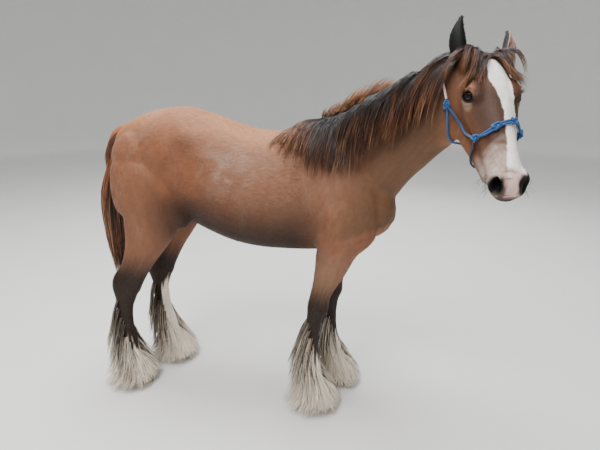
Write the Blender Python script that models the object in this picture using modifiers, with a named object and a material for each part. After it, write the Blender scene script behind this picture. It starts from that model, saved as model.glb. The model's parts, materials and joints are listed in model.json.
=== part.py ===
"""A young gypsy vanner horse, standing, with its head turned to its right and a rope halter on.

Metres, +Z up, +X forward along the body, +Y to the horse's left. While the horse is drawn, x = 0
lies under the middle of the hind feet. At the end everything is moved so that the origin is the
bottom centre of the whole model's box.
"""
import math
import random

import bmesh
import bpy
import numpy as np
from mathutils import Matrix, Vector
from mathutils.bvhtree import BVHTree

# Driving sizes
GAP = 0.0003            # clearance between neighbouring nodes
VOXEL = 0.0065          # grid that fuses the masses of flesh into one surface
TRUNK_TRIANGLES = 2000  # what the fused flesh is thinned to, behind the head
HEAD_TRIANGLES = 740
FEATURE_TRIANGLES = 700    # around the eyes, nostrils and mouth
FEATURE_REACH = 0.042
HEAD_SCALE = 0.965      # of a head drawn 0.52 m long, poll to muzzle
POLL = (1.462, -0.250, 1.5565)
HEAD_YAW = 12.0         # degrees from -Y towards +X that the face points
HEAD_PITCH = 42.0       # degrees between the face line and the vertical
EYE_RADIUS = 0.0215
EYE_PLACE = (0.166, -0.036, 0.0700)     # along the face, above it, and across
EYE_OPENING = (0.0215, 0.0135)          # half length and half height between the lids
EYE_LOOK = (0.42, 0.46, 0.78)           # parts along the face, above it and across
EYE_SLANT = (0.94, 0.30)                # the line from the back corner to the front one
LID = 0.0032                            # thickness of the lids
CORONET_HEIGHT = 0.078
CORONET_SLOPE = 14.0    # degrees that the top of a hoof drops towards the heel
ELBOW_HEIGHT = 0.735
STIFLE_HEIGHT = 0.800
KNEE_HEIGHT = 0.505
HOCK_HEIGHT = 0.520
EAR_LENGTH = 0.158
RIGHT_EAR_SHORTER = 0.90
ROPE_RADIUS = 0.0036
ROPE_LIFT = 0.0012      # air between a rope and the hide
SEED = 12

# One row for each cross-section of the trunk: x, top, bottom, half width, height of the widest place
TRUNK = [
    (-0.085, 1.225, 1.030, 0.045, 1.130),
    (-0.040, 1.268, 0.960, 0.092, 1.130),
    (0.050, 1.318, 0.900, 0.145, 1.130),
    (0.160, 1.350, 0.870, 0.180, 1.130),
    (0.280, 1.360, 0.845, 0.196, 1.120),
    (0.390, 1.334, 0.800, 0.202, 1.060),
    (0.500, 1.298, 0.764, 0.212, 1.020),
    (0.620, 1.268, 0.746, 0.212, 1.000),
    (0.740, 1.270, 0.744, 0.196, 0.990),
    (0.860, 1.312, 0.748, 0.165, 0.980),
    (0.970, 1.315, 0.765, 0.150, 0.980),
    (1.080, 1.260, 0.800, 0.140, 0.990),
    (1.160, 1.140, 0.850, 0.110, 0.985),
    (1.200, 1.060, 0.905, 0.060, 0.980),
]
# One row for each cross-section of the neck: crest point, throat point, half width
NECK = [
    (0.800, 0.000, 1.285, 1.080, 0.000, 0.860, 0.125),
    (0.880, 0.000, 1.318, 1.165, -0.010, 0.925, 0.122),
    (0.985, -0.020, 1.340, 1.200, -0.050, 1.010, 0.104),
    (1.105, -0.064, 1.395, 1.250, -0.105, 1.095, 0.086),
    (1.200, -0.112, 1.448, 1.297, -0.155, 1.155, 0.075),
    (1.290, -0.165, 1.500, 1.340, -0.205, 1.212, 0.069),
    (1.365, -0.217, 1.541, 1.385, -0.250, 1.262, 0.066),
    (1.440, -0.245, 1.552, 1.440, -0.275, 1.330, 0.058),
]
# Legs: x, y, z, half depth fore and aft, half width. y is outwards from the middle.
FORE_LEG = [
    (0.890, 0.050, 1.215, 0.050, 0.030),
    (0.960, 0.092, 1.130, 0.100, 0.055),
    (1.030, 0.112, 1.000, 0.120, 0.066),
    (1.010, 0.118, 0.890, 0.128, 0.068),
    (0.976, 0.118, 0.800, 0.092, 0.063),
    (0.948, 0.115, 0.700, 0.070, 0.053),
    (0.918, 0.111, 0.610, 0.050, 0.043),
    (0.902, 0.109, 0.555, 0.045, 0.041),
    (0.893, 0.108, 0.505, 0.047, 0.045),
    (0.880, 0.107, 0.450, 0.037, 0.037),
    (0.870, 0.106, 0.370, 0.031, 0.029),
    (0.866, 0.106, 0.280, 0.031, 0.028),
    (0.868, 0.106, 0.208, 0.040, 0.035),
    (0.884, 0.106, 0.145, 0.034, 0.033),
    (0.902, 0.106, 0.080, 0.044, 0.042),
    (0.905, 0.106, 0.050, 0.044, 0.042),
]
HIND_LEG = [
    (0.165, 0.076, 1.190, 0.080, 0.045),
    (0.128, 0.102, 1.110, 0.172, 0.082),
    (0.115, 0.122, 0.990, 0.175, 0.088),
    (0.125, 0.130, 0.885, 0.146, 0.080),
    (0.092, 0.130, 0.785, 0.108, 0.067),
    (0.048, 0.127, 0.690, 0.078, 0.052),
    (0.000, 0.125, 0.600, 0.066, 0.042),
    (-0.047, 0.125, 0.525, 0.072, 0.043),
    (-0.060, 0.125, 0.460, 0.052, 0.038),
    (-0.068, 0.125, 0.400, 0.038, 0.032),
    (-0.070, 0.125, 0.310, 0.034, 0.029),
    (-0.068, 0.125, 0.215, 0.043, 0.036),
    (-0.052, 0.125, 0.150, 0.035, 0.033),
    (-0.034, 0.125, 0.082, 0.045, 0.043),
    (-0.031, 0.125, 0.050, 0.045, 0.043),
]
# How far each foot is set forward of the rows above, fading out by the top of the leg
FOOT_SHIFT = {"fore_right": 0.000, "fore_left": 0.082, "hind_right": 0.000, "hind_left": 0.110}
# The skull and nose: along the face, top, bottom, half width, height of the widest place
SKULL = [
    (-0.030, -0.040, -0.110, 0.040, -0.080),
    (0.010, -0.004, -0.125, 0.062, -0.070),
    (0.060, 0.012, -0.140, 0.076, -0.060),
    (0.115, 0.018, -0.145, 0.091, -0.052),
    (0.170, 0.015, -0.145, 0.096, -0.057),
    (0.220, 0.008, -0.140, 0.085, -0.060),
    (0.280, 0.001, -0.130, 0.071, -0.060),
    (0.340, -0.003, -0.120, 0.061, -0.058),
    (0.400, -0.006, -0.112, 0.056, -0.056),
    (0.445, -0.008, -0.108, 0.057, -0.055),
    (0.480, -0.014, -0.105, 0.058, -0.056),
    (0.507, -0.028, -0.098, 0.050, -0.062),
    (0.522, -0.046, -0.088, 0.032, -0.066),
]

# Heights up an ear as shares of its length, and its half width there
EAR_STATIONS = (0.0, 0.14, 0.34, 0.56, 0.76, 0.91, 1.0)
EAR_HALF_WIDTHS = (0.0215, 0.0260, 0.0285, 0.0255, 0.0165, 0.0075, 0.0015)
EAR_WALL = 0.0042
# The way each ear opens, as parts along, above and right in the head's frame
EAR_OPENING = {1: (0.10, -0.75, -0.60), -1: (0.40, 0.70, -0.55)}
# Rings of a hoof: height share of the coronet, set forward, half length, half width
HOOF_RINGS = [(0.0, 0.012, 0.062, 0.057), (0.5, 0.006, 0.055, 0.051), (1.0, 0.0, 0.048, 0.046)]
# The bone of the tail: x, y, z, half thickness
DOCK = [(-0.030, 0, 1.250, 0.034), (-0.085, 0, 1.222, 0.032), (-0.125, 0, 1.150, 0.027),
        (-0.145, 0, 1.060, 0.022), (-0.150, 0, 0.960, 0.015), (-0.152, 0, 0.900, 0.006)]
# A foot's hair: height, reach, set back
# Each layer of the mane: how many locks, and how far they lie off the hide
MANE_LAYERS = ((11, 0.009), (9, 0.025))
MANE_SPAN = ((2.8, 19.6), (3.6, 18.8))
MANE_STEPS = 4
LOCK_KEEL = 0.0008      # how far a lock bulges on its inner face
MANE_LENGTH = 0.27
MANE_LOCK_WIDTH = 0.042
MANE_LOCK_DEPTH = 0.0050
MANE_TUFTS = 6
FORELOCK_LOCKS = 4      # to each side
# Each ring of tail hair: how many locks, and how far out
TAIL_RINGS = ((8, 1.0), (2, 0.35))
TAIL_STEPS = 4
TAIL_END = 0.50
TAIL_LINE = -0.152      # where the middle of the hanging hair is
TAIL_HALF = (0.052, 0.058)
TAIL_LOCK_WIDTH = 0.033
# Rows of feather: height of the roots, how many, arc behind the leg, height of the tips
FEATHER_ROWS = [(0.43, 2, 100, 0.150), (0.34, 3, 180, 0.070), (0.24, 4, 250, 0.030), (0.135, 7, 360, 0.006)]
# The bell that they make: height and reach from the middle of the leg
FEATHER_BELL = [(0.0, 0.132), (0.06, 0.134), (0.12, 0.114), (0.20, 0.090), (0.30, 0.074), (0.42, 0.050)]
FEATHER_LEAN = 0.24     # how much further it reaches behind, and less in front
FEATHER_LAYER = 0.007   # how far each row lies over the one below
FEATHER_APART = 0.006   # half the least room between the feather of two neighbouring feet
FEATHER_STEPS = 3
FEATHER_FLOOR = 0.004
FEATHER_LOCK_WIDTH = 0.049
HEAD_CUT = 21           # which section of the neck parts the head from it
NECK_CUT = ((0.745, 0, 1.33), (1.215, 0, 0.86))
LOOKS = {
    "bay_coat": ((0.20, 0.085, 0.04), 0.55),
    "dark_points": ((0.03, 0.02, 0.016), 0.6),
    "eye": ((0.015, 0.01, 0.008), 0.08),
    "hoof": ((0.30, 0.26, 0.21), 0.5),
    "halter_rope": ((0.02, 0.25, 0.75), 0.7),
}
ROPE_STEPS = 3
ROPE_ROUNDS = 14
# The halter's runs, as points along, above and right in the head's frame, with the points that are knots
NOSE_KNOT = ((0.315, -0.058, 0.068), (0.300, -0.058, -0.068))
EAR_KNOT = ((0.150, -0.100, 0.124), (0.150, -0.130, -0.092))
ROPES = {
    "halter_noseband": (
        [NOSE_KNOT[0], (0.321, -0.019, 0.052), (0.313, -0.003, 0.025), (0.303, 0.002, 0.000),
         (0.292, -0.003, -0.030), (0.284, -0.022, -0.058), NOSE_KNOT[1]], (0, 2, 4, 6)),
    "halter_chin": (
        [NOSE_KNOT[0], (0.325, -0.110, 0.060), (0.345, -0.150, 0.040), (0.350, -0.165, 0.0),
         (0.342, -0.150, -0.040), (0.315, -0.110, -0.060), NOSE_KNOT[1]], (3,)),
    "halter_crown": (
        [(0.226, -0.250, 0.015), (0.222, -0.235, 0.055), (0.217, -0.195, 0.100), (0.199, -0.148, 0.115),
         EAR_KNOT[0], (0.075, -0.085, 0.125), (0.010, -0.090, 0.115), (-0.050, -0.060, 0.065),
         (-0.055, -0.040, 0.0), (-0.045, -0.085, -0.045), (0.010, -0.110, -0.080),
         (0.080, -0.115, -0.094), EAR_KNOT[1], (0.195, -0.165, -0.090), (0.215, -0.215, -0.070),
         (0.226, -0.250, -0.015)], (4, 12)),
    "halter_cheek_right": ([EAR_KNOT[0], (0.190, -0.112, 0.099), (0.249, -0.122, 0.078), NOSE_KNOT[0]], ()),
    "halter_cheek_left": ([EAR_KNOT[1], (0.199, -0.128, -0.090), (0.249, -0.110, -0.078), NOSE_KNOT[1]], ()),
}
TRIMMED = ("halter_chin", "halter_cheek_right", "halter_cheek_left")
KNOT = 2.6              # a knot's thickness over the rope's


def catmull_rom(rows, steps):
    """Rows of numbers joined by a smooth curve through each, with this many steps between two rows."""
    rows = np.array(rows, float)
    padded = np.vstack([2 * rows[0] - rows[1], rows, 2 * rows[-1] - rows[-2]])
    found = []
    for i in range(len(rows) - 1):
        a, b, c, d = padded[i : i + 4]
        for t in np.arange(steps) / steps:
            square = (2 * a - 5 * b + 4 * c - d) * t**2
            cube = (3 * b - a - 3 * c + d) * t**3
            found.append(0.5 * (2 * b + (c - a) * t + square + cube))
    return np.array(found + [rows[-1]])


def unit(vector):
    return vector / max(np.linalg.norm(vector), 1e-12)


class Flesh:
    """Closed shells that pile up in one mesh until the grid fuses them."""

    def __init__(self):
        self.mesh = bmesh.new()

    def loft(self, rings):
        """A closed shell through rings of equal count, with a flat end at each side."""
        rows = [[self.mesh.verts.new(p) for p in ring] for ring in rings]
        count = len(rows[0])
        for low, high in zip(rows, rows[1:]):
            for i in range(count):
                j = (i + 1) % count
                self.mesh.faces.new((low[i], low[j], high[j], high[i]))
        self.mesh.faces.new(rows[0][::-1])
        self.mesh.faces.new(rows[-1])

    def ball(self, centre, radii, turn=None, sides=24):
        """An ellipsoid with its three radii along the axes of the turn matrix."""
        turn = turn or Matrix.Identity(3)
        scale = Matrix.Diagonal(Vector((*radii, 1)))
        place = Matrix.Translation(centre) @ turn.to_4x4() @ scale
        bmesh.ops.create_uvsphere(
            self.mesh, u_segments=sides, v_segments=sides // 2, radius=1.0, matrix=place)

    def object(self, name, collection):
        bmesh.ops.recalc_face_normals(self.mesh, faces=self.mesh.faces)
        data = bpy.data.meshes.new(name)
        self.mesh.to_mesh(data)
        self.mesh.free()
        made = bpy.data.objects.new(name, data)
        collection.objects.link(made)
        return made


def ring_angles(sides):
    return np.arange(sides) * 2 * math.pi / sides


def oval(centre, across, up, egg=0.0, square=1.0, sides=40):
    """A ring of points. egg above 0 narrows its top, and square under 1 makes it boxier."""
    angle = ring_angles(sides)
    c = np.sign(np.cos(angle)) * np.abs(np.cos(angle)) ** square
    s = np.sign(np.sin(angle)) * np.abs(np.sin(angle)) ** square
    return centre + np.outer(c * (1 - egg * s), across) + np.outer(s, up)


def two_part_ring(low, high, widest, half_width, place, square=0.9, roof=0.0, sides=48):
    """A ring that is widest at a given height. roof narrows its top."""
    angle = ring_angles(sides)
    across = half_width * np.sign(np.cos(angle)) * np.abs(np.cos(angle)) ** square
    across *= 1 - roof * np.clip(np.sin(angle), 0, 1)
    rise = np.where(np.sin(angle) > 0, high - widest, widest - low) * np.sin(angle)
    return [place(a, widest + r) for a, r in zip(across, rise)]


def trunk_rings():
    rings = []
    for x, top, bottom, half, widest in catmull_rom(TRUNK, 8):
        rings.append(two_part_ring(bottom, top, widest, half, lambda a, h: (x, a, h)))
    return rings


def neck_frames():
    """For each section of the neck: its middle, its half height as a vector, and its half width."""
    rows = catmull_rom(NECK, 4)
    middles = (rows[:, 0:3] + rows[:, 3:6]) / 2
    tangents = np.gradient(middles, axis=0)
    frames = []
    for row, middle, tangent in zip(rows, middles, tangents):
        up = (row[0:3] - row[3:6]) / 2
        across = unit(np.cross(up, tangent)) * row[6]
        frames.append((middle, up, across))
    return frames


def neck_rings():
    return [oval(middle, across, up, egg=0.28) for middle, up, across in neck_frames()]


def leg_rows(rows, corner):
    """The rows of one leg, mirrored to its side and with its foot set forward."""
    side = -1 if corner.endswith("right") else 1
    top, shift = 0.86, FOOT_SHIFT[corner]
    found = []
    for x, y, z, depth, width in rows:
        share = min(1.0, max(0.0, (top - z) / top))
        found.append((x + shift * share, side * y, z, depth, width))
    return found


def leg_rings(rows, corner):
    rings = []
    smooth = catmull_rom(leg_rows(rows, corner), 4)
    tangents = np.gradient(smooth[:, :3], axis=0)
    for row, tangent in zip(smooth, tangents):
        fore = unit(np.cross((0, 1, 0), unit(tangent)))
        rings.append(oval(row[:3], np.array((0, row[4], 0)), fore * row[3], sides=32))
    return rings


def head_axes():
    """Unit vectors along the face, up from it, and to the horse's right."""
    yaw, pitch = math.radians(HEAD_YAW), math.radians(HEAD_PITCH)
    ahead = np.array((math.sin(yaw), -math.cos(yaw), 0))
    along = math.sin(pitch) * ahead + np.array((0, 0, -math.cos(pitch)))
    above = math.cos(pitch) * ahead + np.array((0, 0, math.sin(pitch)))
    return along, above, np.cross(along, above)


def on_head(along, above, right=0.0):
    """A point of the head's own frame, in the drawing's frame."""
    a, b, c = head_axes()
    return np.array(POLL) + HEAD_SCALE * (along * a + above * b + right * c)


def head_matrix():
    a, b, c = head_axes()
    return Matrix((a, b, c)).transposed()


def head_masses(flesh):
    rings = []
    for u, top, bottom, half, widest in catmull_rom(SKULL, 4):
        rings.append(two_part_ring(
            bottom, top, widest, half, lambda w, v: on_head(u, v, w), square=0.75, roof=0.34))
    flesh.loft(rings)
    turn = head_matrix()
    for side in (-1, 1):
        flesh.ball(on_head(0.130, -0.140, side * 0.050), (0.104, 0.104, 0.040), turn)
        flesh.ball(on_head(0.200, -0.158, side * 0.042), (0.090, 0.064, 0.026), turn)
        flesh.ball(on_head(0.036, -0.028, 0.072 if side > 0 else -0.060), (0.042, 0.032, 0.024), turn)
        flesh.ball(on_head(0.160, -0.014, side * 0.056), (0.048, 0.022, 0.024), turn)
        flesh.ball(eye_frame(side)[0], [EYE_RADIUS + LID + 0.002] * 3)
        jaw = [(0.15, -0.165, 0.048, 0.068, 0.034), (0.25, -0.150, 0.040, 0.056, 0.032),
               (0.34, -0.126, 0.032, 0.044, 0.027), (0.44, -0.104, 0.024, 0.032, 0.025)]
        a, b, c = head_axes()
        flesh.loft([
            oval(on_head(u, v, side * w), c * wide, b * deep, sides=16)
            for u, v, w, deep, wide in catmull_rom(jaw, 4)
        ])
        flesh.ball(on_head(0.470, -0.050, side * 0.034), (0.036, 0.032, 0.026), turn)
    flesh.ball(on_head(0.468, -0.112, 0), (0.034, 0.020, 0.030), turn)
    flesh.ball(on_head(0.440, -0.118, 0), (0.026, 0.018, 0.024), turn)
    flesh.ball(on_head(0.492, -0.080, 0), (0.034, 0.034, 0.040), turn)


def fused_flesh():
    """Every mass of flesh fused into one closed surface."""
    flesh = Flesh()
    flesh.loft(trunk_rings())
    flesh.loft(neck_rings())
    for corner in FOOT_SHIFT:
        flesh.loft(leg_rings(FORE_LEG if corner.startswith("fore") else HIND_LEG, corner))
    for side in (-1, 1):
        flesh.ball((0.085, side * 0.090, 1.130), (0.145, 0.085, 0.135))
        flesh.ball((1.120, side * 0.080, 0.970), (0.080, 0.068, 0.110))
        flesh.ball((0.260, side * 0.130, 0.950), (0.085, 0.050, 0.115))
    flesh.ball((0.905, 0, 1.255), (0.120, 0.060, 0.062))
    head_masses(flesh)
    body = flesh.object("flesh", HORSE)
    remesh = body.modifiers.new("fuse", "REMESH")
    remesh.mode = "VOXEL"
    remesh.voxel_size = VOXEL
    apply_modifiers(body)
    return body


def apply_modifiers(obj):
    graph = bpy.context.evaluated_depsgraph_get()
    data = bpy.data.meshes.new_from_object(obj.evaluated_get(graph))
    old = obj.data
    obj.modifiers.clear()
    obj.data = data
    bpy.data.meshes.remove(old)


def coordinates(mesh):
    co = np.empty(len(mesh.vertices) * 3)
    mesh.vertices.foreach_get("co", co)
    return co.reshape(-1, 3)


def normals(mesh):
    no = np.empty(len(mesh.vertices) * 3)
    mesh.vertices.foreach_get("normal", no)
    return no.reshape(-1, 3)


def relax(obj, rounds, share=0.5, weight=None):
    """Smooths creases without shrinking: each round moves in and then back out again."""
    mesh = obj.data
    co = coordinates(mesh)
    ends = np.empty(len(mesh.edges) * 2, np.int32)
    mesh.edges.foreach_get("vertices", ends)
    a, b = ends.reshape(-1, 2).T
    degree = np.bincount(a, minlength=len(co)) + np.bincount(b, minlength=len(co))
    weight = np.ones(len(co)) if weight is None else weight
    for amount in [share, -share * 1.04] * rounds:
        total = np.stack([
            np.bincount(a, co[b, k], len(co)) + np.bincount(b, co[a, k], len(co)) for k in range(3)
        ], axis=1)
        co += amount * weight[:, None] * (total / degree[:, None] - co)
    mesh.vertices.foreach_set("co", co.ravel())
    mesh.update()


def reach(co, points):
    """Distance from each vertex to a line through the points."""
    points = np.array(points, float)
    if len(points) == 1:
        return np.linalg.norm(co - points[0], axis=1)
    found = np.full(len(co), 1e9)
    for p, q in zip(points, points[1:]):
        d = q - p
        t = np.clip(((co - p) @ d) / (d @ d), 0, 1)
        found = np.minimum(found, np.linalg.norm(co - p - t[:, None] * d, axis=1))
    return found


def stroke(obj, points, radius, height):
    """Raises the surface along a line by height, or sinks it where height is under 0."""
    mesh = obj.data
    co, no = coordinates(mesh), normals(mesh)
    near = np.clip(1 - (reach(co, points) / radius) ** 2, 0, 1) ** 2
    co += no * (near * height)[:, None]
    mesh.vertices.foreach_set("co", co.ravel())
    mesh.update()


def trunk_share(obj):
    """1 on the trunk and legs, falling to 0 on the head."""
    away = np.linalg.norm(coordinates(obj.data) - on_head(0.26, -0.08), axis=1)
    return np.clip((away - 0.30) / 0.10, 0, 1)


def thin(obj, inside, target):
    """Decimates the vertices that are inside a region to a number of triangles, and leaves the rest."""
    group = obj.vertex_groups.new(name="region")
    group.add([int(i) for i in np.flatnonzero(inside)], 1.0, "REPLACE")
    total = kept = 0
    for face in obj.data.polygons:
        size = len(face.vertices) - 2
        total += size
        if not all(inside[v] for v in face.vertices):
            kept += size
    step = obj.modifiers.new("thin", "DECIMATE")
    step.vertex_group = group.name
    step.vertex_group_factor = 10.0
    step.ratio = (kept + target) / total
    apply_modifiers(obj)
    obj.vertex_groups.clear()


def thin_flesh(body):
    thin(body, trunk_share(body) > 0.5, TRUNK_TRIANGLES)
    details = [eye_frame(side)[0] for side in (-1, 1)]
    details += [on_head(0.490, -0.050, side * 0.040) for side in (-1, 1)] + [on_head(0.50, -0.085, 0)]
    for near, target in ((False, HEAD_TRIANGLES), (True, FEATURE_TRIANGLES)):
        co = coordinates(body.data)
        away = np.min([np.linalg.norm(co - place, axis=1) for place in details], axis=0)
        thin(body, (trunk_share(body) <= 0.5) & ((away < FEATURE_REACH) == near), target)


def seat_lids(body):
    """Pushes the skin over each eye out until the lids have their full thickness."""
    co = coordinates(body.data)
    for side in (-1, 1):
        middle, _, _, out = eye_frame(side)
        way = co - middle
        far = np.linalg.norm(way, axis=1)
        near = (far < EYE_RADIUS + LID) & (way @ out > -0.2 * EYE_RADIUS)
        co[near] = middle + way[near] * ((EYE_RADIUS + LID) / far[near])[:, None]
    body.data.vertices.foreach_set("co", co.ravel())
    body.data.update()


def sculpt_body(obj):
    for side in (-1, 1):
        y = side
        stroke(obj, [(0.86, y * 0.10, 1.20), (1.00, y * 0.15, 1.05), (1.10, y * 0.15, 0.97)], 0.05, 0.006)
        stroke(obj, [(0.84, y * 0.16, 1.12), (0.87, y * 0.19, 0.98), (0.90, y * 0.17, 0.86)], 0.05, -0.010)
        stroke(obj, [(0.38, y * 0.20, 1.10), (0.34, y * 0.20, 0.98)], 0.08, -0.014)
        stroke(obj, [(0.36, y * 0.16, 1.235)], 0.09, 0.012)
        stroke(obj, [(1.20, y * 0.045, 0.93), (1.16, y * 0.05, 0.84)], 0.05, 0.006)
    stroke(obj, [(1.20, 0, 0.98), (1.16, 0, 0.84)], 0.035, -0.012)
    stroke(obj, [(-0.12, 0, 1.16), (-0.06, 0, 0.98), (0.02, 0, 0.86)], 0.04, -0.016)


def sculpt_head(obj):
    for side in (-1, 1):
        cheek_bone = [on_head(0.215, -0.078, side * 0.080), on_head(0.320, -0.080, side * 0.055)]
        stroke(obj, cheek_bone, 0.020, 0.004)
        stroke(obj, [on_head(0.100, -0.010, side * 0.070)], 0.026, -0.006)
        nose_side = [on_head(0.330, -0.045, side * 0.052), on_head(0.410, -0.050, side * 0.048)]
        stroke(obj, nose_side, 0.026, -0.004)
        middle, along, over, out = eye_frame(side)
        brow = [(-0.8, 0.9), (0.1, 1.35), (0.9, 0.9)]
        stroke(obj, [middle + EYE_RADIUS * (along * x + over * y + out * 0.6) for x, y in brow], 0.014, 0.003)
        bag = [(-0.6, -1.3), (0.2, -1.5), (0.9, -1.2)]
        stroke(obj, [middle + EYE_RADIUS * (along * x + over * y + out * 0.5) for x, y in bag], 0.010, -0.002)


def boolean(obj, tools, operation, solver="EXACT"):
    """Joins to obj, or cuts from it, all the objects of the collection tools, which then go."""
    step = obj.modifiers.new(operation, "BOOLEAN")
    step.operation = operation
    step.operand_type = "COLLECTION"
    step.collection = tools
    step.solver = solver
    apply_modifiers(obj)
    for tool in list(tools.objects):
        bpy.data.objects.remove(tool)
    bpy.data.collections.remove(tools)


def new_collection(name):
    made = bpy.data.collections.new(name)
    bpy.context.scene.collection.children.link(made)
    return made


def shells(obj):
    """The surfaces of a mesh that hang together by more than an edge or a corner, as face numbers."""
    work = bmesh.new()
    work.from_mesh(obj.data)
    unseen = set(work.faces)
    found = []
    while unseen:
        stack = [unseen.pop()]
        shell = []
        while stack:
            face = stack.pop()
            shell.append(face.index)
            for edge in face.edges:
                if len(edge.link_faces) != 2:
                    continue
                for other in edge.link_faces:
                    if other in unseen:
                        unseen.discard(other)
                        stack.append(other)
        found.append(shell)
    work.free()
    return found


def extract(obj, faces, name):
    """A new object made of some of an object's faces."""
    keep = set(faces)
    work = bmesh.new()
    work.from_mesh(obj.data)
    bmesh.ops.delete(work, geom=[f for f in work.faces if f.index not in keep], context="FACES")
    data = bpy.data.meshes.new(name)
    work.to_mesh(data)
    work.free()
    made = bpy.data.objects.new(name, data)
    HORSE.objects.link(made)
    return made


def keep_largest(obj):
    """Leaves only the closed surface with the most room inside."""
    co = coordinates(obj.data)

    def volume(faces):
        total = 0.0
        for index in faces:
            corner = co[list(obj.data.polygons[index].vertices)]
            for i in range(1, len(corner) - 1):
                total += np.dot(corner[0], np.cross(corner[i], corner[i + 1])) / 6
        return total

    pieces = shells(obj)
    best = max(pieces, key=volume)
    if len(pieces) == 1:
        return obj
    name = obj.name
    obj.name = "whole"
    kept = extract(obj, best, name)
    bpy.data.objects.remove(obj)
    return kept


def material(name, colour, roughness):
    made = bpy.data.materials.get(name) or bpy.data.materials.new(name)
    made.use_nodes = True
    shader = made.node_tree.nodes["Principled BSDF"]
    shader.inputs["Base Color"].default_value = (*colour, 1)
    shader.inputs["Roughness"].default_value = roughness
    shader.inputs["Metallic"].default_value = 0.0
    made.diffuse_color = (*colour, 1)
    return made


def give(obj, look):
    obj.data.materials.clear()
    obj.data.materials.append(material(look, *LOOKS[look]))


def slab(cutters, centre, normal, size):
    """A sheet of air as thick as the gap between two nodes."""
    work = bmesh.new()
    turn = Vector(normal).to_track_quat("Z", "Y").to_matrix().to_4x4()
    scale = Matrix.Diagonal((size, size, GAP, 1))
    bmesh.ops.create_cube(work, size=1.0, matrix=Matrix.Translation(centre) @ turn @ scale)
    data = bpy.data.meshes.new("slab")
    work.to_mesh(data)
    work.free()
    cutters.objects.link(bpy.data.objects.new("slab", data))


def leg_point(corner, height):
    """Where the middle of a leg is at a given height."""
    rows = catmull_rom(leg_rows(FORE_LEG if corner.startswith("fore") else HIND_LEG, corner), 8)
    nearest = rows[np.argmin(np.abs(rows[:, 2] - height))]
    return Vector((nearest[0], nearest[1], height))


def side_of(name):
    return 1 if name.endswith("right") else -1


def ear_path(side):
    """Points up the middle of an ear, from its root to its tip, in the head's own frame."""
    right = side > 0
    root = np.array((0.018, -0.022, side * (0.086 if right else 0.066)))
    lean = np.array((-0.130, 0.075, 0.000)) if right else np.array((-0.150, -0.024, -0.038))
    bow = np.array((-0.006, -0.008, 0.010)) if right else np.array((0.0, 0.010, -0.010))
    lean *= EAR_LENGTH * (RIGHT_EAR_SHORTER if right else 1) / np.linalg.norm(lean)
    return [root + lean * t + bow * math.sin(math.pi * t) for t in EAR_STATIONS]


def ear_rings(side, grow=0.0, shift=0.0, stations=None, inner=False):
    points = [on_head(*p) for p in ear_path(side)]
    opening = EAR_OPENING[side]
    a, b, c = head_axes()
    faces = opening[0] * a + opening[1] * b + opening[2] * c
    rings = []
    for i, (point, half) in enumerate(zip(points, EAR_HALF_WIDTHS)):
        if stations and i not in stations:
            continue
        up = unit(points[min(i + 1, len(points) - 1)] - points[max(i - 1, 0)])
        front = unit(faces - up * (faces @ up))
        across = np.cross(up, front)
        deep = 0.75 * half
        if inner:
            wide, middle, depth = half - EAR_WALL, 0.5 * deep, 1.5 * deep - EAR_WALL
        else:
            wide, middle, depth = half + grow, 0.0, deep + grow
        start = point - up * (shift if i == 0 else 0)
        rings.append(oval(start + front * middle, across * wide, front * depth, sides=9))
    return rings


def make_ear(name):
    side = side_of(name)
    outer = Flesh()
    outer.loft(ear_rings(side))
    ear = outer.object(name, HORSE)
    cups = new_collection("cups")
    cup = Flesh()
    cup.loft(ear_rings(side, inner=True, stations=range(1, len(EAR_STATIONS) - 1)))
    cup.object("cup", cups)
    boolean(ear, cups, "DIFFERENCE")
    give(ear, "dark_points")
    return ear


def eye_frame(side):
    """The eye's middle, and unit vectors along its opening, over its opening, and out of it."""
    a, b, c = head_axes()
    middle = on_head(EYE_PLACE[0], EYE_PLACE[1], side * EYE_PLACE[2])
    out = unit(EYE_LOOK[0] * a + EYE_LOOK[1] * b + side * EYE_LOOK[2] * c)
    along = EYE_SLANT[0] * a + EYE_SLANT[1] * b
    along = unit(along - out * (along @ out))
    return middle, along, np.cross(out, along) * side, out


def make_eye(name):
    middle, along, over, out = eye_frame(side_of(name))
    eye = Flesh()
    turn = Matrix((along, over, out)).transposed()
    bmesh.ops.create_uvsphere(
        eye.mesh, u_segments=12, v_segments=8, radius=EYE_RADIUS,
        matrix=Matrix.Translation(middle) @ turn.to_4x4(),
    )
    ball = eye.object(name, HORSE)
    give(ball, "eye")
    return ball


def open_eye(cutters, side):
    """The socket of an eye and the slit between its lids."""
    middle, along, over, out = eye_frame(side)
    place = Matrix.Translation(middle) @ Matrix((along, over, out)).transposed().to_4x4()
    socket = Flesh()
    bmesh.ops.create_uvsphere(
        socket.mesh, u_segments=12, v_segments=8, radius=EYE_RADIUS + 2 * GAP, matrix=place)
    socket.object("socket", cutters)
    long, high = EYE_OPENING
    slit = Flesh()
    slit.loft([
        oval(middle + out * d, along * long * grow, over * high * grow, square=1.2, sides=14)
        for d, grow in ((0.4 * EYE_RADIUS, 0.9), (2.2 * EYE_RADIUS, 1.3))
    ])
    slit.object("slit", cutters)


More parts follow.
